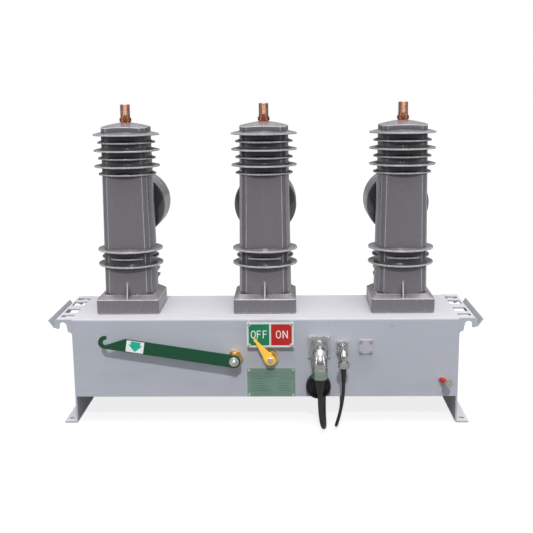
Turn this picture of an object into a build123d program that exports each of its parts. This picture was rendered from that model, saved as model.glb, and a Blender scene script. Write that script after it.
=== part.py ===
from build123d import *

import os
from math import asin, cos, degrees, pi, radians, sin, tan

# Outdoor vacuum circuit breaker: three moulded poles on a sheet steel tank.
# Millimetres. X runs along the tank, Y from its front to its rear, Z up.
# The origin is the centre of the four foot holes, on the ground.

# Tank, a folded sheet box with a recessed bottom cover
tank_width = 940.0
tank_depth = 250.0
tank_height = 197.0
tank_bottom = 68.0
sheet = 3.0
tank_bend = 5.0
rim_flange = 20.0
cover_sheet = 3.0
cover_gap = 0.5
cover_screw_size = 6.0
cover_screws_along = 5
cover_screw_pitch = 210.0
cover_screw_inset = 13.0
screw_gap = 0.2
hex_share = 0.6
bolt_hex_share = 0.85

# Feet, one folded angle under each end
foot_sheet = 4.0
foot_reach = 29.0
foot_hole = 13.0
foot_hole_reach = 16.0
foot_hole_inset = 22.0

# Hangers, one hooked frame on each end
hanger_sheet = 4.0
hanger_reach = 38.0
hanger_lip_reach = 57.0
hanger_lip_sheet = 3.5
hanger_lip_length = 208.0
hanger_lip_out = 5.0
hanger_lip_back = 1.5
hook_slot = 18.0
hook_slot_place = 21.0
hook_slot_top = 7.0
hook_tip_drop = 24.0
hook_root_drop = 32.0
hook_step = 3.0
hook_chamfer = 2.0
hook_heel = 5.0
window_reach = 31.0
window_short = 21.0
window_long = 41.0
window_margin = 25.0
window_bar = 21.0

# Poles
pole_spacing = 340.0
base_width = 155.0
base_height = 36.0
base_corner = 8.0
base_slope_rise = 10.0
base_slope_inset = 14.0
base_foot_round = 3.0
tube_half_foot = 65.8
tube_half_top = 59.5
tube_bulge = 8.0
tube_corner = 11.0
arm_height = 519.0
tube_over_arm = 216.0
tube_top = arm_height + tube_over_arm
cap_rim_drop = 19.0
cap_rim = tube_top - cap_rim_drop
cap_rise = 18.0
cap_crown = 0.62
pole_bore = 98.0
pole_bore_clear = 1.0
pole_ceiling_drop = 20.0
pole_ceiling = tube_top - pole_ceiling_drop
shed_thickness = 3.4
shed_rise = 7.0
shed_root_wall = 3.0
upper_shed_drop = 30.0
upper_shed_top = tube_top - upper_shed_drop
upper_shed_pitch = 19.2
upper_sheds = 6
lower_shed_under_arm = 98.0
lower_shed_top = arm_height - lower_shed_under_arm
lower_shed_pitch = 18.5
lower_sheds = 3
large_shed = 162.0
small_shed = 142.0
fin_sheet = 3.6
fin_top = 346.0
rear_shed_top = 355.0
rear_shed_pitch = 18.0
rear_sheds = 2
rear_shed_reach = 93.0
rear_shed_width = 122.0
rear_shed_sheet = 3.6
pole_bolt_size = 12.0
pole_bolt_spacing = 120.0
pole_bolt_depth = 22.0
pole_bolt_tip_gap = 2.0

# Rear arm of each pole, its current transformer and its sheds
arm_diameter = 66.0
arm_end = 252.0
arm_shed = 112.0
arm_sheds = 3
arm_shed_pitch = 17.0
arm_shed_last = 239.0
arm_shed_sheet = 3.6
drum_diameter = 160.0
drum_front = 73.0
drum_rear = 186.0
drum_gap = 0.1
drum_round = 4.0

# Terminals, turned copper
terminal_diameter = 23.5
terminal_length = 42.0
terminal_rod = 26.0
terminal_chamfer = 1.5
terminal_collar = 29.0
terminal_collar_height = 9.0
terminal_flange = 60.0
terminal_flange_height = 8.0
fit_gap = 0.1
running_gap = 0.05
sink = 1.0

# Vacuum interrupter and what moves in it
travel = 10.0
contact_rest_gap = 0.3
contact_diameter = 44.0
contact_thickness = 8.0
stem_diameter = 22.0
bottle_diameter = 86.0
bottle_length = 155.0
bottle_wall = 8.0
bottle_cap = 6.0
bottle_cap_diameter = 76.0
fixed_contact_over_arm = 121.3
fixed_contact_height = arm_height + fixed_contact_over_arm
block_size = 46.0
block_height = 36.0

# Insulating pull rods
rod_under_arm = 33.0
rod_top = arm_height - rod_under_arm
rod_diameter = 34.0
rod_rib = 48.0
rod_rib_sheet = 5.0
rod_rib_pitch = 32.0
rod_ribs = 5
rod_socket = 16.0
fork_width = 24.0
fork_slot = 9.0
fork_over_pin = 18.0
fork_under_pin = 12.0
fork_height = 40.0
armature_slot_under_pin = 13.5
armature_fork_under_pin = 18.5
pivot_gap = 0.5

# Main shaft
shaft_diameter = 20.0
shaft_end_gap = 15.0
shaft_length = tank_width - 2 * (sheet + shaft_end_gap)
shaft_height = 169.0
crank_radius = 32.0
crank_sheet = 8.0
crank_hub = 30.0
crank_end = 16.0
crank_pin = 8.0
crank_pin_length = 28.0
lever_radius = 45.0
pointer_lever_reach = 26.0
pointer_lever_end = 20.0
trip_lever_at = -58.0
trip_lever_reach = 36.0
trip_lever_angle = 118.0
trip_lever_end = 12.0
bracket_sheet = 8.0
bracket_width = 50.0
bracket_under_shaft = 18.0
bracket_foot = 30.0
bracket_foot_sheet = 6.0
bracket_left_inset = 30.0
bracket_right_inset = 45.0
bracket_middle = -110.0
brackets_at = (bracket_left_inset - tank_width / 2, bracket_middle, tank_width / 2 - bracket_right_inset)

# Magnetic actuator
actuator_at = 170.0
actuator_width = 120.0
actuator_depth = 80.0
actuator_low = 76.0
actuator_high = 142.0
actuator_plate = 8.0
actuator_side = 5.0
plunger_diameter = 50.0
plunger_height = 32.0
plunger_gap = 1.0
plunger_low = 86.0
plunger_rod = 16.0

# Springs, coiled from round wire
opening_spring_at = -170.0
opening_spring_diameter = 26.0
opening_spring_wire = 4.0
opening_spring_turns = 6
spring_seat = 36.0
spring_seat_sheet = 4.0
handle_spring_diameter = 25.0
handle_spring_wire = 3.0
handle_spring_turns = 5
handle_spring_pitch = 6.0

# Position pointer and its sign on the front
pointer_x = 14.0
pointer_z = 169.0
pointer_length = 67.5
pointer_angle = 36.0
pointer_sweep = 74.0
pointer_end = 12.0
pointer_neck = 5.0
pointer_head = 10.5
pointer_head_length = 9.0
pointer_sheet = 3.0
pointer_standoff = 24.0
pointer_shaft_diameter = 12.0
pointer_shaft_to_poles = 76.0
pointer_shaft_inside = tank_depth / 2 - pointer_shaft_to_poles
pointer_crank_disc = 24.0
pointer_crank_sheet = 5.0
pointer_crank_pin = 5.0
pointer_crank_pin_length = 20.0
pointer_slot_gap = 2.6
pointer_screw_head = 14.0
pointer_screw_head_height = 4.5
pointer_screw_size = 6.0
pointer_screw_depth = 12.0
pointer_bush_flange = 38.0
pointer_bush_flange_height = 10.0
pointer_bush_neck = 24.0
pointer_bush_shank = 20.0
bush_inside = 14.0
sign_x = 14.0
sign_z = 229.6
sign_width = 113.0
sign_height = 62.5
sign_sheet = 2.0
plate_corner = 2.0
sign_standoff = 15.0
sign_screw_inset = 5.0
plate_x = 15.0
plate_width = 117.0
plate_height = 72.0
plate_sheet = 1.0
plate_screw_inset = 4.5
small_screw_inset = 3.5

# Opening handle
handle_x = -73.0
handle_z = 168.5
handle_angle = 9.0
handle_height = 31.0
handle_sheet = 4.0
handle_standoff = 33.0
neck_gap = 1.0
handle_taper_start = 267.0
hook_centre = 311.5
hook_reach = 18.0
hook_inner = 7.0
hook_mouth = 0.5
hook_trim = 0.1
handle_shaft_diameter = 16.0
handle_shaft_to_poles = 59.0
handle_shaft_inside = tank_depth / 2 - handle_shaft_to_poles
handle_stub = 10.0
handle_stub_length = 12.0
handle_bush_hex = 34.0
handle_bush_hex_height = 12.0
handle_bush_neck = 28.0
handle_bush_shank = 24.0
trip_arm = 20.0
trip_arm_height = 8.0
trip_arm_sheet = 6.0
washer_diameter = 23.0
washer_height = 2.5
nut_hex = 17.0
nut_height = 7.0
nut_dome = 14.0
nut_dome_height = 6.0

# Connectors on the front
connector_z = 194.5
large_x = 132.0
large_flange = 55.0
large_barrel = 42.0
large_ring = 44.0
large_elbow = 40.0
large_throat = 33.0
large_reach = 75.0
large_elbow_bend = 26.0
large_neck = 5.5
large_collar = 36.0
large_collar_height = 5.0
large_nut = 33.0
large_nut_height = 19.0
large_boot_top = 22.0
large_boot_height = 38.0
large_cable = 12.0
small_x = 188.5
small_flange = 30.5
small_barrel = 24.0
small_ring = 26.0
small_elbow = 19.0
small_throat = 14.5
small_reach = 58.0
small_elbow_bend = 15.0
small_neck = 3.5
small_collar = 20.0
small_collar_height = 2.5
small_nut = 25.0
small_nut_height = 13.5
small_boot_top = 14.0
small_boot_height = 36.0
small_cable = 8.0
flange_sheet = 5.0
flange_corner = 3.0
socket_spigot = 14.0
socket_inside = 30.0
ring_length = 18.0
ring_gap = 1.0
plug_shoulder = 3.0
elbow_sections = 5
boot_wall = 0.6
blank_x = 245.5
blank_z = 194.7
blank_width = 33.0
blank_height = 35.0
blank_sheet = 3.0
front_screw_size = 4.0
front_screw_head = 7.0
front_screw_head_height = 2.5
spacer_diameter = 8.0

# Protective cap of the large socket, hanging on its strap
cap_x = 130.0
cap_z = 99.0
cap_diameter = 60.0
cap_depth = 18.0
cap_wall = 3.0
strap_overlap = 2.0
cap_inner_ring = 34.0
cap_inner_ring_wall = 2.5
cap_hang = 2.0
strap_width = 8.0
strap_sheet = 2.0

# Earthing bolt, bent a little to the right
earth_inset = 41.0
earth_x = tank_width / 2 - earth_inset
earth_z = 111.5
earth_lean = 20.0
earth_shank = 12.0
earth_length = 33.0
earth_hex = 18.0
earth_head = 8.0
earth_boss = 15.0
earth_boss_height = 2.0
earth_clear = 1.0

# Cables, each laid under the tank to a coil behind it
floor_gap = 0.2
coil_layer_rise = 1.045
coil_stub = 0.97
arc_share = 0.45
large_coil_inner = 47.0
large_coil_outer = 97.0
large_coil_x = 56.5
large_coil_y = 235.0
large_entry = 50.0
large_tail = 66.0
large_end_length = 60.0
small_coil_inner = 32.0
small_coil_outer = 70.0
small_coil_x = 267.5
small_coil_y = 206.0
small_entry = 34.0
small_tail = 48.0
small_end_length = 48.0

# Places worked out from the sizes above
tank_top = tank_bottom + tank_height
tank_half_width = tank_width / 2
tank_half_depth = tank_depth / 2
ceiling = tank_top - sheet
cover_top = tank_bottom + cover_sheet
flange_top = cover_top + sheet
inner_width = tank_width - 2 * sheet
inner_depth = tank_depth - 2 * sheet
pole_places = {"a": -pole_spacing, "b": 0.0, "c": pole_spacing}
base_top = tank_top + base_height
bottle_top = pole_ceiling - terminal_flange_height
bottle_low = bottle_top - bottle_length
contact_top = fixed_contact_height - contact_rest_gap - travel
half_swing = asin(travel / 2 / crank_radius)
shaft_y = -crank_radius * (1 + cos(half_swing)) / 2
pin_height = shaft_height - crank_radius * sin(half_swing)
lever_y = shaft_y + lever_radius * (1 + cos(half_swing)) / 2
lever_pin_y = shaft_y + lever_radius * cos(half_swing)
lever_pin_height = shaft_height - lever_radius * sin(half_swing)
crank_pin_y = shaft_y + crank_radius * cos(half_swing)
handle_front = handle_standoff + handle_sheet
plate_z = tank_bottom + plate_height / 2
seat_top = lever_pin_height + crank_end / 2 - 1 + spring_seat_sheet

os.makedirs("parts", exist_ok=True)


def save(builder, label):
    """Label a finished piece and write it to its file."""
    builder.part.label = label
    export_step(builder.part, f"parts/{label}.step")


def front(distance):
    """A plane square to the tank's front; its local x and y are X and Z."""
    return Plane(origin=(0, -tank_half_depth - distance, 0), x_dir=(1, 0, 0), z_dir=(0, -1, 0))


def turn(start, end, diameter, x, z, mode=Mode.ADD):
    """A cylinder along Y, between two distances in front of the tank's face."""
    with BuildSketch(front(start)) as profile:
        with Locations((x, z)):
            Circle(diameter / 2)
    extrude(profile.sketch, amount=end - start, mode=mode)


def bar(start, end, width, height, x, z, mode=Mode.ADD):
    """A rectangular block between two distances in front of the tank's face."""
    with BuildSketch(front(start)) as profile:
        with Locations((x, z)):
            Rectangle(width, height)
    extrude(profile.sketch, amount=end - start, mode=mode)


def post(low, high, diameter, x, y, mode=Mode.ADD):
    """An upright cylinder between two heights."""
    with BuildSketch(Plane.XY.offset(low)) as profile:
        with Locations((x, y)):
            Circle(diameter / 2)
    extrude(profile.sketch, amount=high - low, mode=mode)


def cross_pin(middle, length, diameter, y, z, mode=Mode.ADD):
    """A cylinder along X about a middle place."""
    with BuildSketch(Plane.YZ.offset(middle - length / 2)) as profile:
        with Locations((y, z)):
            Circle(diameter / 2)
    extrude(profile.sketch, amount=length, mode=mode)


def corners(x, z, width, height, inset):
    """The four places inset from the corners of a plate on the front."""
    half_width = width / 2 - inset
    half_height = height / 2 - inset
    return [(x + side * half_width, z + end * half_height) for side in (-1, 1) for end in (-1, 1)]


def cover_screw_places():
    """The screws of the bottom cover, in two rows along the tank."""
    row = inner_depth / 2 - cover_screw_inset
    first = -cover_screw_pitch * (cover_screws_along - 1) / 2
    return [(first + number * cover_screw_pitch, side * row)
            for number in range(cover_screws_along) for side in (-1, 1)]


sign_screws = corners(sign_x, sign_z, sign_width, sign_height, sign_screw_inset)
plate_screws = corners(plate_x, plate_z, plate_width, plate_height, plate_screw_inset)
large_screws = corners(large_x, connector_z, large_flange, large_flange, plate_screw_inset)
small_screws = corners(small_x, connector_z, small_flange, small_flange, small_screw_inset)
blank_screws = corners(blank_x, blank_z, blank_width, blank_height, plate_screw_inset)
front_screw_places = sign_screws + plate_screws + large_screws + small_screws + blank_screws

# Tank body
with BuildPart() as tank_body:
    with BuildSketch(Plane.XY.offset(tank_bottom)):
        Rectangle(tank_width, tank_depth)
    extrude(amount=tank_height)
    long_edges = tank_body.edges().filter_by(Axis.X).group_by(Axis.Z)[-1]
    fillet(long_edges, tank_bend)
    with BuildSketch(Plane.XY.offset(flange_top)):
        Rectangle(inner_width, inner_depth)
    extrude(amount=ceiling - flange_top, mode=Mode.SUBTRACT)
    with BuildSketch(Plane.XY.offset(tank_bottom)):
        Rectangle(inner_width, inner_depth)
    extrude(amount=cover_sheet, mode=Mode.SUBTRACT)
    with BuildSketch(Plane.XY.offset(cover_top)):
        Rectangle(inner_width - 2 * rim_flange, inner_depth - 2 * rim_flange)
        with Locations(*cover_screw_places()):
            Circle(cover_screw_size / 2 + screw_gap)
    extrude(amount=sheet, mode=Mode.SUBTRACT)
    with BuildSketch(Plane.XY.offset(ceiling)):
        for pole_x in pole_places.values():
            with Locations((pole_x, 0)):
                Circle(pole_bore / 2 + pole_bore_clear)
                with GridLocations(pole_bolt_spacing, pole_bolt_spacing, 2, 2):
                    Circle(pole_bolt_size / 2 + screw_gap)
    extrude(amount=sheet, mode=Mode.SUBTRACT)
    with BuildSketch(front(-sheet)):
        with Locations((handle_x, handle_z)):
            Circle(handle_bush_shank / 2 + screw_gap)
        with Locations((pointer_x, pointer_z)):
            Circle(pointer_bush_shank / 2 + screw_gap)
        with Locations((large_x, connector_z)):
            Circle(large_barrel / 2 + screw_gap)
        with Locations((small_x, connector_z)):
            Circle(small_barrel / 2 + screw_gap)
        with Locations((earth_x, earth_z)):
            Circle(earth_shank / 2 + earth_clear)
        with Locations(*front_screw_places):
            Circle(front_screw_size / 2 + screw_gap)
    extrude(amount=sheet, mode=Mode.SUBTRACT)
save(tank_body, "tank_body")

# Bottom cover with its screws
with BuildPart() as bottom_cover:
    with BuildSketch(Plane.XY.offset(tank_bottom)):
        Rectangle(inner_width - 2 * cover_gap, inner_depth - 2 * cover_gap)
    extrude(amount=cover_sheet)
    with BuildSketch(Plane.XY.offset(tank_bottom)):
        with Locations(*cover_screw_places()):
            RegularPolygon(cover_screw_size, 6)
    extrude(amount=-cover_screw_size * hex_share)
    with BuildSketch(Plane.XY.offset(cover_top)):
        with Locations(*cover_screw_places()):
            Circle(cover_screw_size / 2)
    extrude(amount=sheet + cover_screw_size)
save(bottom_cover, "bottom_cover")

# Feet
for side, label in ((-1, "left_foot"), (1, "right_foot")):
    outer = side * tank_half_width
    with BuildPart() as foot:
        with BuildSketch(Plane.XZ.offset(-tank_half_depth)):
            with BuildLine():
                Polyline(
                    (outer, tank_bottom),
                    (outer, foot_sheet),
                    (outer + side * foot_reach, foot_sheet),
                    (outer + side * foot_reach, 0),
                    (outer - side * foot_sheet, 0),
                    (outer - side * foot_sheet, tank_bottom),
                    close=True,
                )
            make_face()
        extrude(amount=tank_depth)
        with BuildSketch(Plane.XY):
            with Locations((outer + side * foot_hole_reach, 0)):
                with GridLocations(0, tank_depth - 2 * foot_hole_inset, 1, 2):
                    Circle(foot_hole / 2)
        extrude(amount=foot_sheet, mode=Mode.SUBTRACT)
        heel = foot.edges().filter_by(Axis.Y).group_by(Axis.Z)[0].sort_by(Axis.X)
        fillet(heel[-1] if side < 0 else heel[0], foot_sheet)
    save(foot, label)

# Hangers
slot_low = hook_slot_top + hook_slot / 2
lip_drop = hook_tip_drop - hook_chamfer
lip_inner = hanger_reach + hanger_lip_out
hook_inner_side = hook_slot_place - hook_slot / 2
hook_outer_side = hook_slot_place + hook_slot / 2


def place(side, reach, drop):
    """A point of the hanger's section from its reach past the tank and drop below its top."""
    return (side * (tank_half_width + reach), tank_top - drop)


for side, label in ((-1, "left_hanger"), (1, "right_hanger")):
    with BuildPart() as hanger:
        for plate_plane in (Plane.XZ.offset(tank_half_depth), Plane.XZ.offset(-tank_half_depth + hanger_sheet)):
            with BuildSketch(plate_plane):
                with BuildLine():
                    Polyline(
                        place(side, hook_inner_side, slot_low),
                        place(side, hook_slot / 2, hook_root_drop),
                        place(side, hook_step, hook_root_drop + sink),
                        place(side, 0, hook_root_drop + sink + hook_heel),
                        place(side, 0, 0),
                        place(side, hanger_reach, 0),
                        place(side, lip_inner, hanger_sheet),
                        place(side, lip_inner, lip_drop - hook_chamfer),
                        place(side, hook_outer_side + hook_step, hook_tip_drop),
                        place(side, hook_outer_side, hook_tip_drop - hook_chamfer),
                        place(side, hook_outer_side, slot_low),
                    )
                    ThreePointArc(
                        place(side, hook_outer_side, slot_low),
                        place(side, hook_slot_place, hook_slot_top),
                        place(side, hook_inner_side, slot_low),
                    )
                make_face()
            extrude(amount=-hanger_sheet)
        with BuildSketch(Plane.XY.offset(tank_top - hanger_sheet)):
            with Locations((side * (tank_half_width + hanger_reach / 2), 0)):
                Rectangle(hanger_reach, tank_depth)
            window_x = side * (tank_half_width + sink + window_reach / 2)
            short_y = tank_half_depth - window_margin - window_short / 2
            long_y = short_y - window_short / 2 - window_bar - window_long / 2
            with Locations((window_x, short_y), (window_x, -short_y)):
                Rectangle(window_reach, window_short, mode=Mode.SUBTRACT)
            with Locations((window_x, long_y), (window_x, -long_y)):
                Rectangle(window_reach, window_long, mode=Mode.SUBTRACT)
        extrude(amount=hanger_sheet)
        with BuildSketch(Plane.XZ.offset(tank_half_depth)):
            with BuildLine():
                Polyline(
                    place(side, lip_inner, lip_drop),
                    place(side, lip_inner, lip_drop - hanger_lip_back * hanger_lip_sheet),
                    place(side, hanger_lip_reach - hanger_lip_sheet, 0),
                    place(side, hanger_lip_reach, hook_chamfer),
                    close=True,
                )
            make_face()
        extrude(amount=-hanger_lip_length)
    save(hanger, label)

# Pole housing, one moulding with its sheds, base, fins and rear arm
tube_foot = base_top - sink


def tube_outline(half):
    """The tube's section: four bulging sides with cut corners."""
    scale = half / tube_half_foot
    flat = (tube_half_foot - tube_bulge) * scale
    side_end = flat - tube_corner
    with BuildLine() as outline:
        for quarter in range(4):
            quarter_turn = 90 * quarter
            start = Vector(-side_end, -flat).rotate(Axis.Z, quarter_turn)
            middle = Vector(0, -half).rotate(Axis.Z, quarter_turn)
            end = Vector(side_end, -flat).rotate(Axis.Z, quarter_turn)
            corner = Vector(flat, -side_end).rotate(Axis.Z, quarter_turn)
            ThreePointArc(start, middle, end)
            Line(end, corner)
    make_face(outline.edges())


def shed_profile(height, diameter):
    """Half the section of one shed, drooping from the tube to its rim."""
    root = pole_bore / 2 + shed_root_wall
    with BuildLine() as outline:
        Polyline(
            (root, height - shed_thickness),
            (diameter / 2, height - shed_thickness),
            (diameter / 2, height),
            (root, height + shed_rise),
            close=True,
        )
    make_face(outline.edges())


with BuildPart() as pole_housing:
    with BuildSketch(Plane.XY.offset(tank_top)):
        RectangleRounded(base_width, base_width, base_corner)
    extrude(amount=base_height)
    fillet(pole_housing.edges().group_by(Axis.Z)[0], base_foot_round)
    with BuildSketch(Plane.XY.offset(base_top)):
        RectangleRounded(base_width, base_width, base_corner)
    with BuildSketch(Plane.XY.offset(base_top + base_slope_rise)):
        inset_width = base_width - 2 * base_slope_inset
        RectangleRounded(inset_width, inset_width, base_corner)
    loft()
    with BuildSketch(Plane.XY.offset(tube_foot)):
        tube_outline(tube_half_foot)
    with BuildSketch(Plane.XY.offset(tube_top)):
        tube_outline(tube_half_top)
    loft()
    with BuildSketch(Plane.XZ):
        with BuildLine():
            crown = (large_shed / 4, cap_rim + cap_crown * cap_rise)
            ThreePointArc((0, cap_rim + cap_rise), crown, (large_shed / 2, cap_rim))
            Polyline(
                (large_shed / 2, cap_rim),
                (large_shed / 2, tube_top + sink),
                (0, tube_top + sink),
                (0, cap_rim + cap_rise),
            )
        make_face()
    revolve(axis=Axis.Z, mode=Mode.SUBTRACT)
    with BuildSketch(Plane.XZ):
        for number in range(upper_sheds):
            shed_profile(upper_shed_top - number * upper_shed_pitch, (large_shed, small_shed)[number % 2])
        for number in range(lower_sheds):
            shed_profile(lower_shed_top - number * lower_shed_pitch, (large_shed, small_shed)[number % 2])
    revolve(axis=Axis.Z)
    with BuildSketch(Plane.YZ.offset(-fin_sheet / 2)):
        for end in (-1, 1):
            with BuildLine():
                Polyline(
                    (end * (base_width / 2 - sink), base_top - sink),
                    (end * (tube_half_foot - sink), fin_top),
                    (end * (tube_half_foot - tube_bulge - sink), fin_top),
                    (end * (tube_half_foot - tube_bulge - sink), base_top - sink),
                    close=True,
                )
            make_face()
    extrude(amount=fin_sheet)
    for number in range(rear_sheds):
        with BuildSketch(Plane.XY.offset(rear_shed_top - number * rear_shed_pitch)):
            with Locations((0, rear_shed_reach - tube_half_top / 2)):
                RectangleRounded(rear_shed_width, tube_half_top, tube_corner)
        extrude(amount=-rear_shed_sheet)
    with BuildSketch(Plane.XZ.offset(-arm_end)):
        with Locations((0, arm_height)):
            Circle(arm_diameter / 2)
    extrude(amount=arm_end - pole_bore / 2)
    for number in range(arm_sheds):
        with BuildSketch(Plane.XZ.offset(-arm_shed_last + number * arm_shed_pitch)):
            with Locations((0, arm_height)):
                Circle(arm_shed / 2)
        extrude(amount=arm_shed_sheet)
    post(tank_top, pole_ceiling, pole_bore, 0, 0, Mode.SUBTRACT)
    post(pole_ceiling, tube_top, terminal_diameter + 2 * fit_gap, 0, 0, Mode.SUBTRACT)
    with BuildSketch(Plane.XZ.offset(-arm_end)):
        with Locations((0, arm_height)):
            Circle(terminal_rod / 2 + fit_gap)
    extrude(amount=arm_end, mode=Mode.SUBTRACT)
    with BuildSketch(Plane.XY.offset(tank_top)):
        with GridLocations(pole_bolt_spacing, pole_bolt_spacing, 2, 2):
            Circle(pole_bolt_size / 2 + fit_gap)
    extrude(amount=pole_bolt_depth, mode=Mode.SUBTRACT)

# Current transformer, a moulded drum on the rear arm
with BuildPart() as current_transformer:
    with BuildSketch(Plane.XZ.offset(-drum_rear)):
        with Locations((0, arm_height)):
            Circle(drum_diameter / 2)
            Circle(arm_diameter / 2 + drum_gap, mode=Mode.SUBTRACT)
    extrude(amount=drum_rear - drum_front)
    rims = current_transformer.edges().filter_by(GeomType.CIRCLE).sort_by(SortBy.RADIUS)[-2:]
    fillet(rims, drum_round)

# Top terminal: stud, collar and the flange that carries the interrupter
with BuildPart() as top_terminal:
    stud_low = cap_rim + cap_rise
    post(bottle_top, pole_ceiling, terminal_flange, 0, 0)
    post(pole_ceiling, stud_low + terminal_length, terminal_diameter, 0, 0)
    post(stud_low, stud_low + terminal_collar_height, terminal_collar, 0, 0)
    crown = top_terminal.edges().filter_by(GeomType.CIRCLE).sort_by(Axis.Z)[-1]
    chamfer(crown, terminal_chamfer)

# Rear terminal: contact block round the moving stem, with its stud
with BuildPart() as rear_terminal:
    with BuildSketch(Plane.XY.offset(arm_height - block_height / 2)):
        Rectangle(block_size, block_size)
    extrude(amount=block_height)
    with BuildSketch(Plane.XZ.offset(-arm_end - terminal_length)):
        with Locations((0, arm_height)):
            Circle(terminal_diameter / 2)
    extrude(amount=terminal_length)
    with BuildSketch(Plane.XZ.offset(-arm_end)):
        with Locations((0, arm_height)):
            Circle(terminal_rod / 2)
    extrude(amount=arm_end - block_size / 2 + sink)
    with BuildSketch(Plane.XZ.offset(-arm_end)):
        with Locations((0, arm_height)):
            Circle(terminal_collar / 2)
    extrude(amount=-terminal_collar_height)
    post(arm_height - block_height, arm_height + block_height, stem_diameter + 2 * running_gap, 0, 0,
         Mode.SUBTRACT)
    tip = rear_terminal.edges().filter_by(GeomType.CIRCLE).sort_by(Axis.Y)[-1]
    chamfer(tip, terminal_chamfer)

# Vacuum interrupter: ceramic bottle, end caps and fixed contact
with BuildPart() as vacuum_interrupter:
    post(bottle_low, bottle_top, bottle_cap_diameter, 0, 0)
    post(bottle_low + bottle_cap, bottle_top - bottle_cap, bottle_diameter, 0, 0)
    post(bottle_low + bottle_cap, bottle_top - bottle_cap, bottle_diameter - 2 * bottle_wall, 0, 0,
         Mode.SUBTRACT)
    post(bottle_low, bottle_low + bottle_cap, stem_diameter + 2 * running_gap, 0, 0, Mode.SUBTRACT)
    post(fixed_contact_height, fixed_contact_height + contact_thickness, contact_diameter, 0, 0)
    post(fixed_contact_height, bottle_top - bottle_cap, stem_diameter, 0, 0)

# Moving contact with its stem
with BuildPart() as moving_contact:
    post(contact_top - contact_thickness, contact_top, contact_diameter, 0, 0)
    post(rod_top - rod_socket, contact_top - contact_thickness, stem_diameter, 0, 0)

# Pull rod: ribbed insulator with a fork at its lower end
fork_low = pin_height - fork_under_pin
with BuildPart() as pull_rod:
    post(fork_low + fork_height, rod_top, rod_diameter, 0, 0)
    with BuildSketch(Plane.XY.offset(fork_low)):
        Rectangle(fork_width, fork_width)
    extrude(amount=fork_height)
    rib_first = (fork_low + fork_height + rod_top) / 2 - rod_rib_pitch * (rod_ribs - 1) / 2
    for number in range(rod_ribs):
        rib = rib_first + number * rod_rib_pitch
        post(rib - rod_rib_sheet / 2, rib + rod_rib_sheet / 2, rod_rib, 0, 0)
    post(rod_top - rod_socket, rod_top, stem_diameter + 2 * fit_gap, 0, 0, Mode.SUBTRACT)
    with BuildSketch(Plane.XY.offset(fork_low)):
        Rectangle(fork_slot, fork_width)
    extrude(amount=fork_under_pin + fork_over_pin, mode=Mode.SUBTRACT)
    cross_pin(0, fork_width, crank_pin + 2 * pivot_gap, 0, pin_height, Mode.SUBTRACT)

pole_pieces = {
    "pole_housing": pole_housing,
    "current_transformer": current_transformer,
    "top_terminal": top_terminal,
    "rear_terminal": rear_terminal,
    "vacuum_interrupter": vacuum_interrupter,
    "moving_contact": moving_contact,
    "pull_rod": pull_rod,
}
for letter, pole_x in pole_places.items():
    for name, piece in pole_pieces.items():
        with BuildPart() as placed:
            with Locations((pole_x, 0, 0)):
                add(piece.part)
        save(placed, f"{name}_{letter}")

# Pole bolts, from inside the tank up into the bases
with BuildPart() as pole_bolts:
    for pole_x in pole_places.values():
        with BuildSketch(Plane.XY.offset(ceiling)):
            with Locations((pole_x, 0)):
                with GridLocations(pole_bolt_spacing, pole_bolt_spacing, 2, 2):
                    RegularPolygon(pole_bolt_size * bolt_hex_share, 6)
        extrude(amount=-pole_bolt_size * hex_share)
        with BuildSketch(Plane.XY.offset(ceiling)):
            with Locations((pole_x, 0)):
                with GridLocations(pole_bolt_spacing, pole_bolt_spacing, 2, 2):
                    Circle(pole_bolt_size / 2)
        extrude(amount=sheet + pole_bolt_depth - pole_bolt_tip_gap)
save(pole_bolts, "pole_bolts")


def lever(middle, reach, hub, end, angle):
    """A flat lever on the main shaft, from its hub to its rounded end."""
    tip = (shaft_y + reach * cos(radians(angle)), shaft_height + reach * sin(radians(angle)))
    with BuildSketch(Plane.YZ.offset(middle - crank_sheet / 2)) as outline:
        with Locations((shaft_y, shaft_height)):
            Circle(hub / 2)
        with Locations(tip):
            Circle(end / 2)
        make_hull()
    extrude(outline.sketch, amount=crank_sheet)


# Main shaft, welded with its cranks and levers
swing_degrees = degrees(half_swing)
pointer_crank_radius = pointer_lever_reach * sin(half_swing) / sin(radians(pointer_sweep / 2))
pointer_pin_x = pointer_x + pointer_crank_radius * cos(radians(pointer_sweep / 2))
pointer_pin_z = pointer_z + pointer_crank_radius * sin(radians(pointer_sweep / 2))
pointer_slot_height = pointer_crank_pin + 2 * pointer_slot_gap
pointer_slot_y = shaft_y - pointer_lever_reach - pointer_lever_end / 4
with BuildPart() as main_shaft:
    cross_pin(0, shaft_length, shaft_diameter, shaft_y, shaft_height)
    for pole_x in pole_places.values():
        lever(pole_x, crank_radius, crank_hub, crank_end, -swing_degrees)
        cross_pin(pole_x, crank_pin_length, crank_pin, crank_pin_y, pin_height)
    lever(actuator_at, lever_radius, crank_hub, crank_end, -swing_degrees)
    cross_pin(actuator_at, crank_pin_length, crank_pin, lever_pin_y, lever_pin_height)
    lever(opening_spring_at, lever_radius, crank_hub, crank_end, -swing_degrees)
    post(lever_pin_height + crank_end / 2 - sink, seat_top, spring_seat, opening_spring_at, lever_pin_y)
    lever(trip_lever_at, trip_lever_reach, crank_hub, trip_lever_end, trip_lever_angle)
    lever(pointer_pin_x, pointer_lever_reach, crank_hub, pointer_lever_end, 180 - swing_degrees)
    with BuildSketch(Plane.YZ.offset(pointer_pin_x - crank_sheet / 2)):
        with Locations((pointer_slot_y, pointer_pin_z)):
            Rectangle(pointer_lever_end, pointer_slot_height, rotation=-swing_degrees)
    extrude(amount=crank_sheet, mode=Mode.SUBTRACT)
save(main_shaft, "main_shaft")

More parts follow.
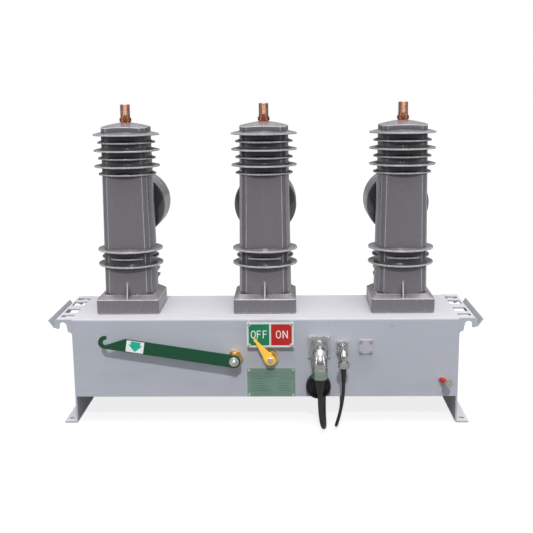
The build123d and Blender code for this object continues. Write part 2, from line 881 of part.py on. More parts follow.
# Brackets that carry the main shaft under the tank's top
bracket_drop = ceiling - shaft_height + bracket_under_shaft
with BuildPart() as shaft_brackets:
    for bracket_x in brackets_at:
        with BuildSketch(Plane.YZ.offset(bracket_x - bracket_sheet / 2)):
            with Locations((shaft_y, ceiling - bracket_drop / 2)):
                Rectangle(bracket_width, bracket_drop)
        extrude(amount=bracket_sheet)
        with BuildSketch(Plane.XY.offset(ceiling - bracket_foot_sheet)):
            with Locations((bracket_x + (bracket_foot - bracket_sheet) / 2, shaft_y)):
                Rectangle(bracket_foot, bracket_width)
        extrude(amount=bracket_foot_sheet)
        cross_pin(bracket_x, 2 * bracket_sheet, shaft_diameter + 2 * running_gap, shaft_y, shaft_height,
                  Mode.SUBTRACT)
save(shaft_brackets, "shaft_brackets")

# Magnetic actuator: closed yoke between two side plates that hang from the tank's top
with BuildPart() as actuator_body:
    with BuildSketch(Plane.XY.offset(actuator_low)):
        with Locations((actuator_at, lever_y)):
            Rectangle(actuator_width, actuator_depth)
    extrude(amount=actuator_high - actuator_low)
    for side in (-1, 1):
        plate_middle = actuator_at + side * (actuator_width - actuator_side) / 2
        plate_front = shaft_y - shaft_diameter
        plate_rear = lever_y + actuator_depth / 2
        with BuildSketch(Plane.XY.offset(actuator_low)):
            with Locations((plate_middle, (plate_front + plate_rear) / 2)):
                Rectangle(actuator_side, plate_rear - plate_front)
        extrude(amount=ceiling - actuator_low)
    cross_pin(actuator_at, 2 * actuator_width, shaft_diameter + 2 * running_gap, shaft_y, shaft_height,
              Mode.SUBTRACT)
    post(actuator_low + actuator_plate, actuator_high - actuator_plate, plunger_diameter + 2 * plunger_gap,
         actuator_at, lever_y, Mode.SUBTRACT)
    post(actuator_high - actuator_plate, actuator_high, plunger_rod + 2 * running_gap, actuator_at, lever_y,
         Mode.SUBTRACT)
save(actuator_body, "actuator_body")

# Actuator armature with its rod and fork
armature_fork_low = lever_pin_height - armature_fork_under_pin
with BuildPart() as actuator_armature:
    post(plunger_low, plunger_low + plunger_height, plunger_diameter, actuator_at, lever_y)
    post(plunger_low, armature_fork_low, plunger_rod, actuator_at, lever_y)
    with BuildSketch(Plane.XY.offset(armature_fork_low)):
        with Locations((actuator_at, lever_y)):
            Rectangle(fork_width, fork_width)
    extrude(amount=armature_fork_under_pin + crank_end / 2)
    with BuildSketch(Plane.XY.offset(lever_pin_height - armature_slot_under_pin)):
        with Locations((actuator_at, lever_y)):
            Rectangle(fork_slot, fork_width)
    extrude(amount=armature_slot_under_pin + crank_end / 2, mode=Mode.SUBTRACT)
    cross_pin(actuator_at, fork_width, crank_pin + 2 * pivot_gap, lever_y, lever_pin_height, Mode.SUBTRACT)
save(actuator_armature, "actuator_armature")

# Opening spring, standing on its lever under the tank's top
spring_low = seat_top + opening_spring_wire / 2 + fit_gap
spring_high = ceiling - opening_spring_wire / 2
spring_height = spring_high - spring_low
with BuildPart() as opening_spring:
    with BuildLine() as coil:
        Helix(
            spring_height / opening_spring_turns,
            spring_height,
            opening_spring_diameter / 2,
            center=(opening_spring_at, lever_pin_y, spring_low),
        )
    with BuildSketch(Plane(origin=coil.line @ 0, z_dir=coil.line % 0)):
        Circle(opening_spring_wire / 2)
    sweep()
save(opening_spring, "opening_spring")


def handle_point(along, across):
    """A point of the handle from its distance along and across the bar."""
    lean = radians(handle_angle)
    return (handle_x - along * cos(lean) + across * sin(lean),
            handle_z + along * sin(lean) + across * cos(lean))


# Opening handle, a flat bar with a hook for the operating stick
half_bar = handle_height / 2
with BuildPart() as handle:
    with BuildSketch(front(handle_standoff)):
        with BuildLine():
            ThreePointArc(handle_point(0, half_bar), handle_point(-half_bar, 0), handle_point(0, -half_bar))
            Line(handle_point(0, -half_bar), handle_point(hook_centre, -half_bar))
            ThreePointArc(handle_point(hook_centre, -half_bar), handle_point(hook_centre + hook_reach, 0),
                          handle_point(hook_centre - hook_mouth, half_bar - hook_trim))
            Line(handle_point(hook_centre - hook_mouth, half_bar - hook_trim),
                 handle_point(hook_centre - hook_mouth, hook_inner - hook_trim))
            ThreePointArc(handle_point(hook_centre - hook_mouth, hook_inner - hook_trim),
                          handle_point(hook_centre + hook_inner, 0),
                          handle_point(hook_centre - hook_mouth, -hook_inner + hook_trim))
            Line(handle_point(hook_centre - hook_mouth, -hook_inner + hook_trim),
                 handle_point(handle_taper_start, half_bar))
            Line(handle_point(handle_taper_start, half_bar), handle_point(0, half_bar))
        make_face()
        with Locations((handle_x, handle_z)):
            Circle(handle_stub / 2 + fit_gap, mode=Mode.SUBTRACT)
    extrude(amount=handle_sheet)
save(handle, "handle")

# Handle shaft with its trip arm inside the tank
with BuildPart() as handle_shaft:
    turn(-handle_shaft_inside, handle_standoff, handle_shaft_diameter, handle_x, handle_z)
    turn(handle_standoff, handle_front + handle_stub_length, handle_stub, handle_x, handle_z)
    bar(-handle_shaft_inside, -handle_shaft_inside + trip_arm_sheet, trip_arm, trip_arm_height,
        handle_x + trip_arm / 2, handle_z)
save(handle_shaft, "handle_shaft")

# Handle bush, screwed into the tank's front
with BuildPart() as handle_bush:
    turn(-bush_inside, 0, handle_bush_shank, handle_x, handle_z)
    with BuildSketch(front(0)):
        with Locations((handle_x, handle_z)):
            RegularPolygon(handle_bush_hex / 2, 6, major_radius=False)
    extrude(amount=handle_bush_hex_height)
    turn(0, handle_standoff - neck_gap, handle_bush_neck, handle_x, handle_z)
    turn(-bush_inside, handle_standoff, handle_shaft_diameter + 2 * running_gap, handle_x, handle_z,
         Mode.SUBTRACT)
save(handle_bush, "handle_bush")

# Washer and cap nut that hold the handle
washer_front = handle_front + washer_height
with BuildPart() as handle_nut:
    turn(handle_front, washer_front, washer_diameter, handle_x, handle_z)
    with BuildSketch(front(washer_front)):
        with Locations((handle_x, handle_z)):
            RegularPolygon(nut_hex / 2, 6, major_radius=False)
    extrude(amount=nut_height)
    turn(washer_front + nut_height, washer_front + nut_height + nut_dome_height, nut_dome, handle_x, handle_z)
    dome = handle_nut.edges().filter_by(GeomType.CIRCLE).sort_by(Axis.Y)[0]
    fillet(dome, nut_dome_height - sink)
    turn(handle_front, handle_front + handle_stub_length, handle_stub + 2 * fit_gap, handle_x, handle_z,
         Mode.SUBTRACT)
save(handle_nut, "handle_nut")

# Return spring of the handle, round its shaft
handle_spring_start = -tank_half_depth + bush_inside + handle_spring_wire / 2 + fit_gap
with BuildPart() as handle_spring:
    with BuildLine() as return_coil:
        Helix(
            handle_spring_pitch,
            handle_spring_turns * handle_spring_pitch,
            handle_spring_diameter / 2,
            center=(handle_x, handle_spring_start, handle_z),
            direction=(0, 1, 0),
        )
    with BuildSketch(Plane(origin=return_coil.line @ 0, z_dir=return_coil.line % 0)):
        Circle(handle_spring_wire / 2)
    sweep()
save(handle_spring, "handle_spring")

# Pointer, a tapered hand with an arrow tip
with BuildPart() as pointer:
    lean = radians(pointer_angle)
    neck_reach = pointer_length - pointer_head_length

    def hand_point(along, across):
        """A point of the hand from its distance along and across it."""
        return (pointer_x - along * sin(lean) + across * cos(lean),
                pointer_z + along * cos(lean) + across * sin(lean))

    with BuildSketch(front(pointer_standoff)):
        with BuildLine():
            Polyline(
                hand_point(0, -pointer_end),
                hand_point(neck_reach, -pointer_neck / 2),
                hand_point(neck_reach, -pointer_head / 2),
                hand_point(pointer_length, 0),
                hand_point(neck_reach, pointer_head / 2),
                hand_point(neck_reach, pointer_neck / 2),
                hand_point(0, pointer_end),
            )
            ThreePointArc(hand_point(0, pointer_end), hand_point(-pointer_end, 0), hand_point(0, -pointer_end))
        make_face()
        with Locations((pointer_x, pointer_z)):
            Circle(pointer_screw_size / 2 + fit_gap, mode=Mode.SUBTRACT)
    extrude(amount=pointer_sheet)
save(pointer, "pointer")

# Screw that holds the pointer
pointer_front = pointer_standoff + pointer_sheet
with BuildPart() as pointer_screw:
    turn(pointer_standoff - pointer_screw_depth, pointer_front, pointer_screw_size, pointer_x, pointer_z)
    turn(pointer_front, pointer_front + pointer_screw_head_height, pointer_screw_head, pointer_x, pointer_z)
    screw_rim = pointer_screw.edges().filter_by(GeomType.CIRCLE).sort_by(Axis.Y)[0]
    fillet(screw_rim, pointer_screw_head_height / 2)
save(pointer_screw, "pointer_screw")

# Pointer shaft with its crank disc
with BuildPart() as pointer_shaft:
    turn(-pointer_shaft_inside, pointer_standoff, pointer_shaft_diameter, pointer_x, pointer_z)
    turn(-pointer_shaft_inside, -pointer_shaft_inside + pointer_crank_sheet, pointer_crank_disc, pointer_x,
         pointer_z)
    turn(-pointer_shaft_inside - pointer_crank_pin_length, -pointer_shaft_inside, pointer_crank_pin,
         pointer_pin_x, pointer_pin_z)
    turn(pointer_standoff - pointer_screw_depth - sink, pointer_standoff, pointer_screw_size + 2 * fit_gap,
         pointer_x, pointer_z, Mode.SUBTRACT)
save(pointer_shaft, "pointer_shaft")

# Pointer bush, screwed into the tank's front
with BuildPart() as pointer_bush:
    turn(-bush_inside, 0, pointer_bush_shank, pointer_x, pointer_z)
    turn(0, pointer_bush_flange_height, pointer_bush_flange, pointer_x, pointer_z)
    turn(0, pointer_standoff - neck_gap, pointer_bush_neck, pointer_x, pointer_z)
    turn(-bush_inside, pointer_standoff, pointer_shaft_diameter + 2 * running_gap, pointer_x, pointer_z,
         Mode.SUBTRACT)
save(pointer_bush, "pointer_bush")

# Position sign and nameplate
with BuildPart() as sign_plate:
    with BuildSketch(front(sign_standoff)):
        with Locations((sign_x, sign_z)):
            RectangleRounded(sign_width, sign_height, plate_corner)
        with Locations(*sign_screws):
            Circle(front_screw_size / 2 + fit_gap, mode=Mode.SUBTRACT)
    extrude(amount=sign_sheet)
save(sign_plate, "sign_plate")

with BuildPart() as nameplate:
    with BuildSketch(front(0)):
        with Locations((plate_x, plate_z)):
            RectangleRounded(plate_width, plate_height, plate_corner)
        with Locations(*plate_screws):
            Circle(front_screw_size / 2 + fit_gap, mode=Mode.SUBTRACT)
    extrude(amount=plate_sheet)
save(nameplate, "nameplate")

# Screws of the sign, plates and flanges; the sign's own have spacers
screw_seats = (
    (sign_screws, sign_standoff + sign_sheet),
    (plate_screws, plate_sheet),
    (large_screws, flange_sheet),
    (small_screws, flange_sheet),
    (blank_screws, blank_sheet),
)
with BuildPart() as front_screws:
    for places, seat in screw_seats:
        for screw_x, screw_z in places:
            turn(-sheet, seat, front_screw_size, screw_x, screw_z)
            turn(seat, seat + front_screw_head_height, front_screw_head, screw_x, screw_z)
    for screw_x, screw_z in sign_screws:
        turn(0, sign_standoff, spacer_diameter, screw_x, screw_z)
save(front_screws, "front_screws")


def socket(x, flange, barrel, screws):
    """A square flanged socket in the tank's front, with its threaded spigot."""
    with BuildSketch(front(0)) as outline:
        with Locations((x, connector_z)):
            RectangleRounded(flange, flange, flange_corner)
        with Locations(*screws):
            Circle(front_screw_size / 2 + fit_gap, mode=Mode.SUBTRACT)
    extrude(outline.sketch, amount=flange_sheet)
    turn(-socket_inside, flange_sheet + socket_spigot, barrel, x, connector_z)


def elbow_bend(x, reach, bend, elbow, throat):
    """The elbow's quarter turn, narrowing from its level leg to its throat."""
    sections = []
    for number in range(elbow_sections):
        share = number / (elbow_sections - 1)
        angle = pi / 2 * share
        origin = (x, -tank_half_depth - reach + bend - bend * sin(angle), connector_z - bend + bend * cos(angle))
        direction = (0, -cos(angle), -sin(angle))
        with BuildSketch(Plane(origin=origin, x_dir=(1, 0, 0), z_dir=direction)) as section:
            Circle((elbow + (throat - elbow) * share) / 2)
        sections.append(section.sketch)
    loft(sections)


def plug(x, barrel, ring, reach, bend, elbow, throat, neck, collar, collar_height, nut, nut_height):
    """A coupling ring with an elbow that turns down to a clamp nut."""
    ring_start = flange_sheet + ring_gap
    ring_end = ring_start + ring_length
    turn(ring_start, ring_end, ring, x, connector_z)
    turn(ring_start, flange_sheet + socket_spigot + fit_gap, barrel + 2 * fit_gap, x, connector_z, Mode.SUBTRACT)
    turn(ring_end, reach - bend, elbow, x, connector_z)
    turn(ring_end, ring_end + plug_shoulder, (ring + elbow) / 2, x, connector_z)
    elbow_bend(x, reach, bend, elbow, throat)
    down_y = -tank_half_depth - reach
    elbow_low = connector_z - bend
    collar_top = elbow_low - neck
    nut_top = collar_top - collar_height
    post(collar_top, elbow_low, throat, x, down_y)
    post(nut_top, collar_top, collar, x, down_y)
    with BuildSketch(Plane.XY.offset(nut_top)) as nut_section:
        with Locations((x, down_y)):
            RegularPolygon(nut / 2, 8, major_radius=False)
    extrude(nut_section.sketch, amount=-nut_height)
    return nut_top - nut_height


with BuildPart() as large_socket:
    socket(large_x, large_flange, large_barrel, large_screws)
save(large_socket, "large_socket")

with BuildPart() as small_socket:
    socket(small_x, small_flange, small_barrel, small_screws)
save(small_socket, "small_socket")

with BuildPart() as large_plug:
    large_boot_high = plug(large_x, large_barrel, large_ring, large_reach, large_elbow_bend, large_elbow,
                           large_throat, large_neck, large_collar, large_collar_height, large_nut,
                           large_nut_height)
save(large_plug, "large_plug")

with BuildPart() as small_plug:
    small_boot_high = plug(small_x, small_barrel, small_ring, small_reach, small_elbow_bend, small_elbow,
                           small_throat, small_neck, small_collar, small_collar_height, small_nut,
                           small_nut_height)
save(small_plug, "small_plug")

large_cable_y = -tank_half_depth - large_reach
small_cable_y = -tank_half_depth - small_reach
large_boot_low = large_boot_high - large_boot_height
small_boot_low = small_boot_high - small_boot_height

boots = (
    ("large_boot", large_x, large_cable_y, large_boot_high, large_boot_low, large_boot_top, large_cable),
    ("small_boot", small_x, small_cable_y, small_boot_high, small_boot_low, small_boot_top, small_cable),
)
for label, boot_x, boot_y, high, low, top_diameter, cable_diameter in boots:
    with BuildPart() as boot:
        with BuildSketch(Plane.XZ.offset(-boot_y)):
            with BuildLine():
                Polyline(
                    (boot_x, high),
                    (boot_x + top_diameter / 2, high),
                    (boot_x + top_diameter / 2, high - top_diameter / 4),
                    (boot_x + cable_diameter / 2 + boot_wall, low),
                    (boot_x, low),
                    close=True,
                )
            make_face()
        revolve(axis=Axis((boot_x, boot_y, 0), (0, 0, 1)))
    save(boot, label)

# Blank cover over a spare socket hole
with BuildPart() as blank_cover:
    with BuildSketch(front(0)):
        with Locations((blank_x, blank_z)):
            RectangleRounded(blank_width, blank_height, plate_corner)
        with Locations(*blank_screws):
            Circle(front_screw_size / 2 + fit_gap, mode=Mode.SUBTRACT)
    extrude(amount=blank_sheet)
save(blank_cover, "blank_cover")

# Dust cap of the large socket, with its inner ring and strap
with BuildPart() as dust_cap:
    turn(cap_hang, cap_hang + cap_depth, cap_diameter, cap_x, cap_z)
    turn(cap_hang + cap_wall, cap_hang + cap_depth, cap_diameter - 2 * cap_wall, cap_x, cap_z, Mode.SUBTRACT)
    turn(cap_hang, cap_hang + cap_depth / 2, cap_inner_ring, cap_x, cap_z)
    turn(cap_hang + cap_wall, cap_hang + cap_depth / 2, cap_inner_ring - 2 * cap_inner_ring_wall, cap_x, cap_z,
         Mode.SUBTRACT)
    strap_top = connector_z - large_flange / 2
    strap_low = cap_z + cap_diameter / 2 - strap_overlap
    bar(cap_hang, cap_hang + strap_sheet, strap_width, strap_top - strap_low, cap_x, (strap_top + strap_low) / 2)
save(dust_cap, "dust_cap")

# Earthing bolt on its boss
earth_direction = (sin(radians(earth_lean)), -cos(radians(earth_lean)), 0)
with BuildPart() as earth_bolt:
    turn(-sheet, earth_boss_height, earth_shank, earth_x, earth_z)
    turn(0, earth_boss_height, earth_boss, earth_x, earth_z)
    with BuildSketch(Plane(origin=(earth_x, -tank_half_depth, earth_z), z_dir=earth_direction)):
        Circle(earth_shank / 2)
    extrude(amount=earth_length)
    head_origin = (
        earth_x + earth_direction[0] * earth_length,
        -tank_half_depth + earth_direction[1] * earth_length,
        earth_z,
    )
    with BuildSketch(Plane(origin=head_origin, z_dir=earth_direction)):
        RegularPolygon(earth_hex / 2, 6, major_radius=False)
    extrude(amount=earth_head)
save(earth_bolt, "earth_bolt")

# Cables: a route along the ground under the tank, then a flat coil of two layers behind it
large_floor = large_cable / 2 + floor_gap
small_floor = small_cable / 2 + floor_gap
large_route = [
    (large_x, large_cable_y, large_boot_low),
    (large_x, large_cable_y, 59.5),
    (134.5, -180.5, 25.7),
    (138.0, -146.9, large_floor),
    (143.4, -75.0, large_floor),
    (150.6, 50.0, large_floor),
    (153.5, 120.0, large_floor),
    (large_coil_x + large_coil_outer, large_coil_y - large_entry, large_floor),
]
small_route = [
    (small_x, small_cable_y, small_boot_low),
    (small_x, small_cable_y, 91.0),
    (180.5, -183.5, 50.0),
    (176.0, -168.5, 22.5),
    (178.0, -142.5, small_floor),
    (185.2, -90.0, small_floor),
    (197.6, 10.0, small_floor),
    (small_coil_x - small_coil_outer, small_coil_y - small_entry, small_floor),
]


def arc_radii(route):
    """The radius of the arc at each inner point of a route: as large as its two runs allow."""
    points = [Vector(*point) for point in route]
    radii = []
    for before, here, after in zip(points, points[1:], points[2:]):
        shorter = min((here - before).length, (after - here).length)
        half_turn = radians((here - before).get_angle(after - here)) / 2
        radii.append(arc_share * shorter / tan(half_turn))
    return radii


for label, route, cable_diameter in (
    ("large_cable", large_route, large_cable),
    ("small_cable", small_route, small_cable),
):
    route_radii = arc_radii(route)
    with BuildPart() as cable:
        with BuildLine() as path:
            FilletPolyline(*route, radius=route_radii)
        with BuildSketch(Plane(origin=path.line @ 0, z_dir=path.line % 0)):
            Circle(cable_diameter / 2)
        sweep()
    section = pi * cable_diameter ** 2 / 4
    cable_length = path.wires()[0].length
    share = cable.part.volume / (section * cable_length)
    print(label, "radii", [round(radius, 1) for radius in route_radii])
    print(label, "length", round(cable_length, 1), "volume share", round(share, 4))
    save(cable, label)


def coil(middle_x, middle_y, inner, outer, diameter, entry_side, entry, tail):
    """A flat coil's outer shape, with the straight stretches where the cable comes in and leaves."""
    low = floor_gap
    layer_rise = coil_layer_rise * diameter
    height = layer_rise + diameter
    with BuildSketch(Plane.XY.offset(low)) as ring:
        with Locations((middle_x, middle_y)):
            Circle(outer + diameter / 2)
            Circle(inner - diameter / 2, mode=Mode.SUBTRACT)
    extrude(ring.sketch, amount=height)
    with BuildSketch(Plane.XZ.offset(entry - middle_y)) as way_in:
        with Locations((middle_x + entry_side * outer, low + diameter / 2)):
            Circle(coil_stub * diameter / 2)
    extrude(way_in.sketch, amount=-entry)
    with BuildSketch(Plane.YZ.offset(middle_x)) as way_out:
        with Locations((middle_y + outer, low + layer_rise + diameter / 2)):
            Circle(coil_stub * diameter / 2)
    extrude(way_out.sketch, amount=-entry_side * tail)


with BuildPart() as large_coil:
    coil(large_coil_x, large_coil_y, large_coil_inner, large_coil_outer, large_cable, 1, large_entry, large_tail)
save(large_coil, "large_coil")

with BuildPart() as small_coil:
    coil(small_coil_x, small_coil_y, small_coil_inner, small_coil_outer, small_cable, -1, small_entry, small_tail)
save(small_coil, "small_coil")


def cable_end(start_x, middle_y, diameter, side, length):
    """A round connector lying on the ground: a boot, a barrel and a coupling ring."""
    middle_z = floor_gap + (coil_layer_rise + 0.5) * diameter
    reach = middle_z - floor_gap
    steps = (
        (0, 0.35, 0.5 * reach),
        (0.35, 0.6, 0.75 * reach),
        (0.6, 1.0, reach),
    )
    for begin, end, radius in steps:
        with BuildSketch(Plane.YZ.offset(start_x + side * begin * length)) as step:
            with Locations((middle_y, middle_z)):
                Circle(radius)
        extrude(step.sketch, amount=side * (end - begin) * length)


with BuildPart() as large_cable_end:
    cable_end(large_coil_x - large_tail, large_coil_y + large_coil_outer, large_cable, -1, large_end_length)
save(large_cable_end, "large_cable_end")

with BuildPart() as small_cable_end:
    cable_end(small_coil_x + small_tail, small_coil_y + small_coil_outer, small_cable, 1, small_end_length)
save(small_cable_end, "small_cable_end")
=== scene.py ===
from math import cos, pi, radians, sin, tau

import bmesh
import bpy
from mathutils import Euler, Matrix, Vector


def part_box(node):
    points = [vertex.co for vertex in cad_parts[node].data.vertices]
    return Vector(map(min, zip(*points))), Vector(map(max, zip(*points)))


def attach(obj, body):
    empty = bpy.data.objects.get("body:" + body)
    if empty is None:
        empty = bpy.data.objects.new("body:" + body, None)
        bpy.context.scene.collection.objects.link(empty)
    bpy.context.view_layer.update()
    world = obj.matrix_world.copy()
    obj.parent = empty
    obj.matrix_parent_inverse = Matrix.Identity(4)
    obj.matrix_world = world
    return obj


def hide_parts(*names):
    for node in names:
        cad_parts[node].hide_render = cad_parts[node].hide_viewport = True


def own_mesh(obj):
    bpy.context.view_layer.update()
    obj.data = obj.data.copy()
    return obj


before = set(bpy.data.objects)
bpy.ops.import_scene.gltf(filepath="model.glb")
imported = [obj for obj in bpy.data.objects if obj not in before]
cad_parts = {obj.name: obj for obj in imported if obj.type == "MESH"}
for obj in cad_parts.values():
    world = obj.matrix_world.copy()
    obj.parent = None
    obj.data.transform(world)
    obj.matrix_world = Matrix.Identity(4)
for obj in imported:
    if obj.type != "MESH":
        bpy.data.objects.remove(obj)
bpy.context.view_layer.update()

# Places and sizes that the pieces below share, in metres
MM = 0.001
tank_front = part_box("tank_body")[0][1]

# Heights between which the poles' two groups of sheds lie, and the walls between the lower ones
upper_sheds = (0.6095, 0.7045)
lower_sheds = (0.3845, 0.4205)
lower_gaps = (0.389, 0.4185)

# Colours that more than one finish uses; both are painted shade for the gaps among the sheds
gap_shade = (0.030, 0.028, 0.033)
gap_dark = (0.016, 0.015, 0.018)


# Node helpers

def new_material(name, base, roughness, metallic=0.0, coat=0.0):
    """A Principled material; later calls hang the textures on its sockets."""
    material = bpy.data.materials.new(name)
    material.use_nodes = True
    shader = material.node_tree.nodes["Principled BSDF"]
    shader.inputs["Base Color"].default_value = (*base, 1.0)
    shader.inputs["Roughness"].default_value = roughness
    shader.inputs["Metallic"].default_value = metallic
    shader.inputs["Coat Weight"].default_value = coat
    shader.inputs["Coat Roughness"].default_value = 0.08
    return material


def node(material, kind, **settings):
    """A new node of a material or of the world, with its settings."""
    made = material.node_tree.nodes.new(kind)
    for key, value in settings.items():
        setattr(made, key, value)
    return made


def link(material, output, target):
    material.node_tree.links.new(output, target)


def shader_of(material):
    return material.node_tree.nodes["Principled BSDF"]


def parts_of(material, vector):
    """X, Y and Z of a vector."""
    split = node(material, "ShaderNodeSeparateXYZ")
    link(material, vector, split.inputs["Vector"])
    return split.outputs["X"], split.outputs["Y"], split.outputs["Z"]


def axes_of(material):
    """X, Y and Z of the place on the object, in metres."""
    return parts_of(material, node(material, "ShaderNodeTexCoord").outputs["Object"])


def facing(material):
    """X, Y and Z of the surface's normal."""
    return parts_of(material, node(material, "ShaderNodeNewGeometry").outputs["Normal"])


def place_of(material, stretch=(1.0, 1.0, 1.0)):
    """The place on the object, in metres, stretched for a directional grain."""
    coordinates = node(material, "ShaderNodeTexCoord")
    mapping = node(material, "ShaderNodeMapping")
    mapping.inputs["Scale"].default_value = stretch
    link(material, coordinates.outputs["Object"], mapping.inputs["Vector"])
    return mapping.outputs["Vector"]


def scaled(colour, share):
    return tuple(share * part for part in colour)


def noise(material, scale, detail=3.0, rough=0.55, stretch=(1.0, 1.0, 1.0)):
    texture = node(material, "ShaderNodeTexNoise")
    texture.inputs["Scale"].default_value = scale
    texture.inputs["Detail"].default_value = detail
    texture.inputs["Roughness"].default_value = rough
    link(material, place_of(material, stretch), texture.inputs["Vector"])
    return texture.outputs["Fac"]


def ramp(material, value, low, high, start=0.0, end=1.0):
    """value mapped from low..high to start..end, clamped."""
    mapped = node(material, "ShaderNodeMapRange")
    mapped.inputs["From Min"].default_value = low
    mapped.inputs["From Max"].default_value = high
    mapped.inputs["To Min"].default_value = start
    mapped.inputs["To Max"].default_value = end
    link(material, value, mapped.inputs["Value"])
    return mapped.outputs["Result"]


def math_node(material, operation, first, second=None):
    made = node(material, "ShaderNodeMath", operation=operation)
    for socket, value in zip(made.inputs, (first, second)):
        if value is None:
            continue
        if isinstance(value, (int, float)):
            socket.default_value = value
        else:
            link(material, value, socket)
    return made.outputs["Value"]


def both(material, first, second):
    return math_node(material, "MULTIPLY", first, second)


def between(material, value, low, high, soft=0.0003):
    """1 where value lies between low and high."""
    return both(material, ramp(material, value, low - soft, low), ramp(material, value, high + soft, high))


def colour_of(material):
    """What feeds the base colour now, as a link or a plain colour."""
    socket = shader_of(material).inputs["Base Color"]
    if socket.is_linked:
        return socket.links[0].from_socket
    return tuple(socket.default_value)


def tint(material, factor, colour):
    """Mix colour over what the base colour holds, by factor."""
    mix = node(material, "ShaderNodeMix", data_type="RGBA")
    before = colour_of(material)
    if isinstance(before, tuple):
        mix.inputs["A"].default_value = before
    else:
        link(material, before, mix.inputs["A"])
    mix.inputs["B"].default_value = (*colour, 1.0)
    link(material, factor, mix.inputs["Factor"])
    link(material, mix.outputs["Result"], shader_of(material).inputs["Base Color"])


def bump(material, height, strength, distance):
    """Add a bump on top of what the normal holds."""
    made = node(material, "ShaderNodeBump")
    made.inputs["Strength"].default_value = strength
    made.inputs["Distance"].default_value = distance
    link(material, height, made.inputs["Height"])
    socket = shader_of(material).inputs["Normal"]
    if socket.is_linked:
        link(material, socket.links[0].from_socket, made.inputs["Normal"])
    link(material, made.outputs["Normal"], socket)


def rounded_normal(material, radius, samples=4):
    """The normal with the edges rounded."""
    bevel = node(material, "ShaderNodeBevel", samples=samples)
    bevel.inputs["Radius"].default_value = radius
    return bevel.outputs["Normal"]


def round_edges(material, radius):
    """Small rounded edges, seen in the shading only."""
    link(material, rounded_normal(material, radius), shader_of(material).inputs["Normal"])


def agreement(material, rounded, surface):
    """1 where the rounded normal is the surface's own, less along its edges."""
    geometry = node(material, "ShaderNodeNewGeometry")
    compare = node(material, "ShaderNodeVectorMath", operation="DOT_PRODUCT")
    link(material, rounded, compare.inputs[0])
    link(material, geometry.outputs[surface], compare.inputs[1])
    return compare.outputs["Value"]


def worn_edge(material):
    """1 on sharp edges and 0 on open faces."""
    return ramp(material, agreement(material, rounded_normal(material, 0.0016), "True Normal"), 0.98, 0.8)


def edge_line(material):
    """1 along an outward or inward edge, 0 on open faces, curved ones too."""
    return ramp(material, agreement(material, rounded_normal(material, 0.0030, 6), "Normal"), 0.994, 0.982)


def openness(material, reach, inside=False):
    """1 where nothing of the object is within reach, in front of the surface or behind it."""
    occlusion = node(material, "ShaderNodeAmbientOcclusion", inside=inside, only_local=True, samples=6)
    occlusion.inputs["Distance"].default_value = reach
    return occlusion.outputs["AO"]


def spot(material, x, z, radius, soft):
    """1 within a round spot of the front, fading out over soft."""
    across, _, up = axes_of(material)
    side = math_node(material, "SUBTRACT", across, x)
    rise = math_node(material, "SUBTRACT", up, z)
    squares = math_node(material, "ADD", both(material, side, side), both(material, rise, rise))
    return ramp(material, math_node(material, "SQRT", squares), radius + soft, radius)


def thread(material, value, pitch, depth, mask):
    """A screw thread's grooves across value, where mask is 1."""
    wave = math_node(material, "SINE", both(material, value, tau / pitch))
    bump(material, both(material, wave, mask), 1.0, depth)


# Materials

def painted_steel(name, base, dirt=0.25, rough=(0.46, 0.62), specular=0.4):
    """Sprayed paint: fine orange peel, faint cloudy tone, grime in smears, bare nicks on edges."""
    material = new_material(name, base, 0.5)
    shader_of(material).inputs["Specular IOR Level"].default_value = specular
    round_edges(material, 0.0012)
    bump(material, noise(material, 420.0, 2.0), 0.10, 0.0004)
    bump(material, noise(material, 14.0, 2.0), 0.05, 0.003)
    cloud = ramp(material, noise(material, 5.0, 4.0), 0.35, 0.7, 0.0, 0.35)
    tint(material, cloud, scaled(base, 0.86))
    smear = ramp(material, noise(material, 9.0, 5.0, 0.7, (0.5, 0.5, 2.2)), 0.56, 0.75, 0.0, dirt)
    tint(material, smear, scaled(base, 0.62))
    specks = ramp(material, noise(material, 260.0, 1.0), 0.76, 0.80, 0.0, 0.6)
    tint(material, specks, scaled(base, 0.45))
    nicks = both(material, worn_edge(material), ramp(material, noise(material, 130.0, 3.0), 0.60, 0.68))
    tint(material, both(material, nicks, 0.6), (0.55, 0.55, 0.56))
    roughness = ramp(material, noise(material, 30.0, 4.0), 0.3, 0.7, *rough)
    link(material, roughness, shader_of(material).inputs["Roughness"])
    return material


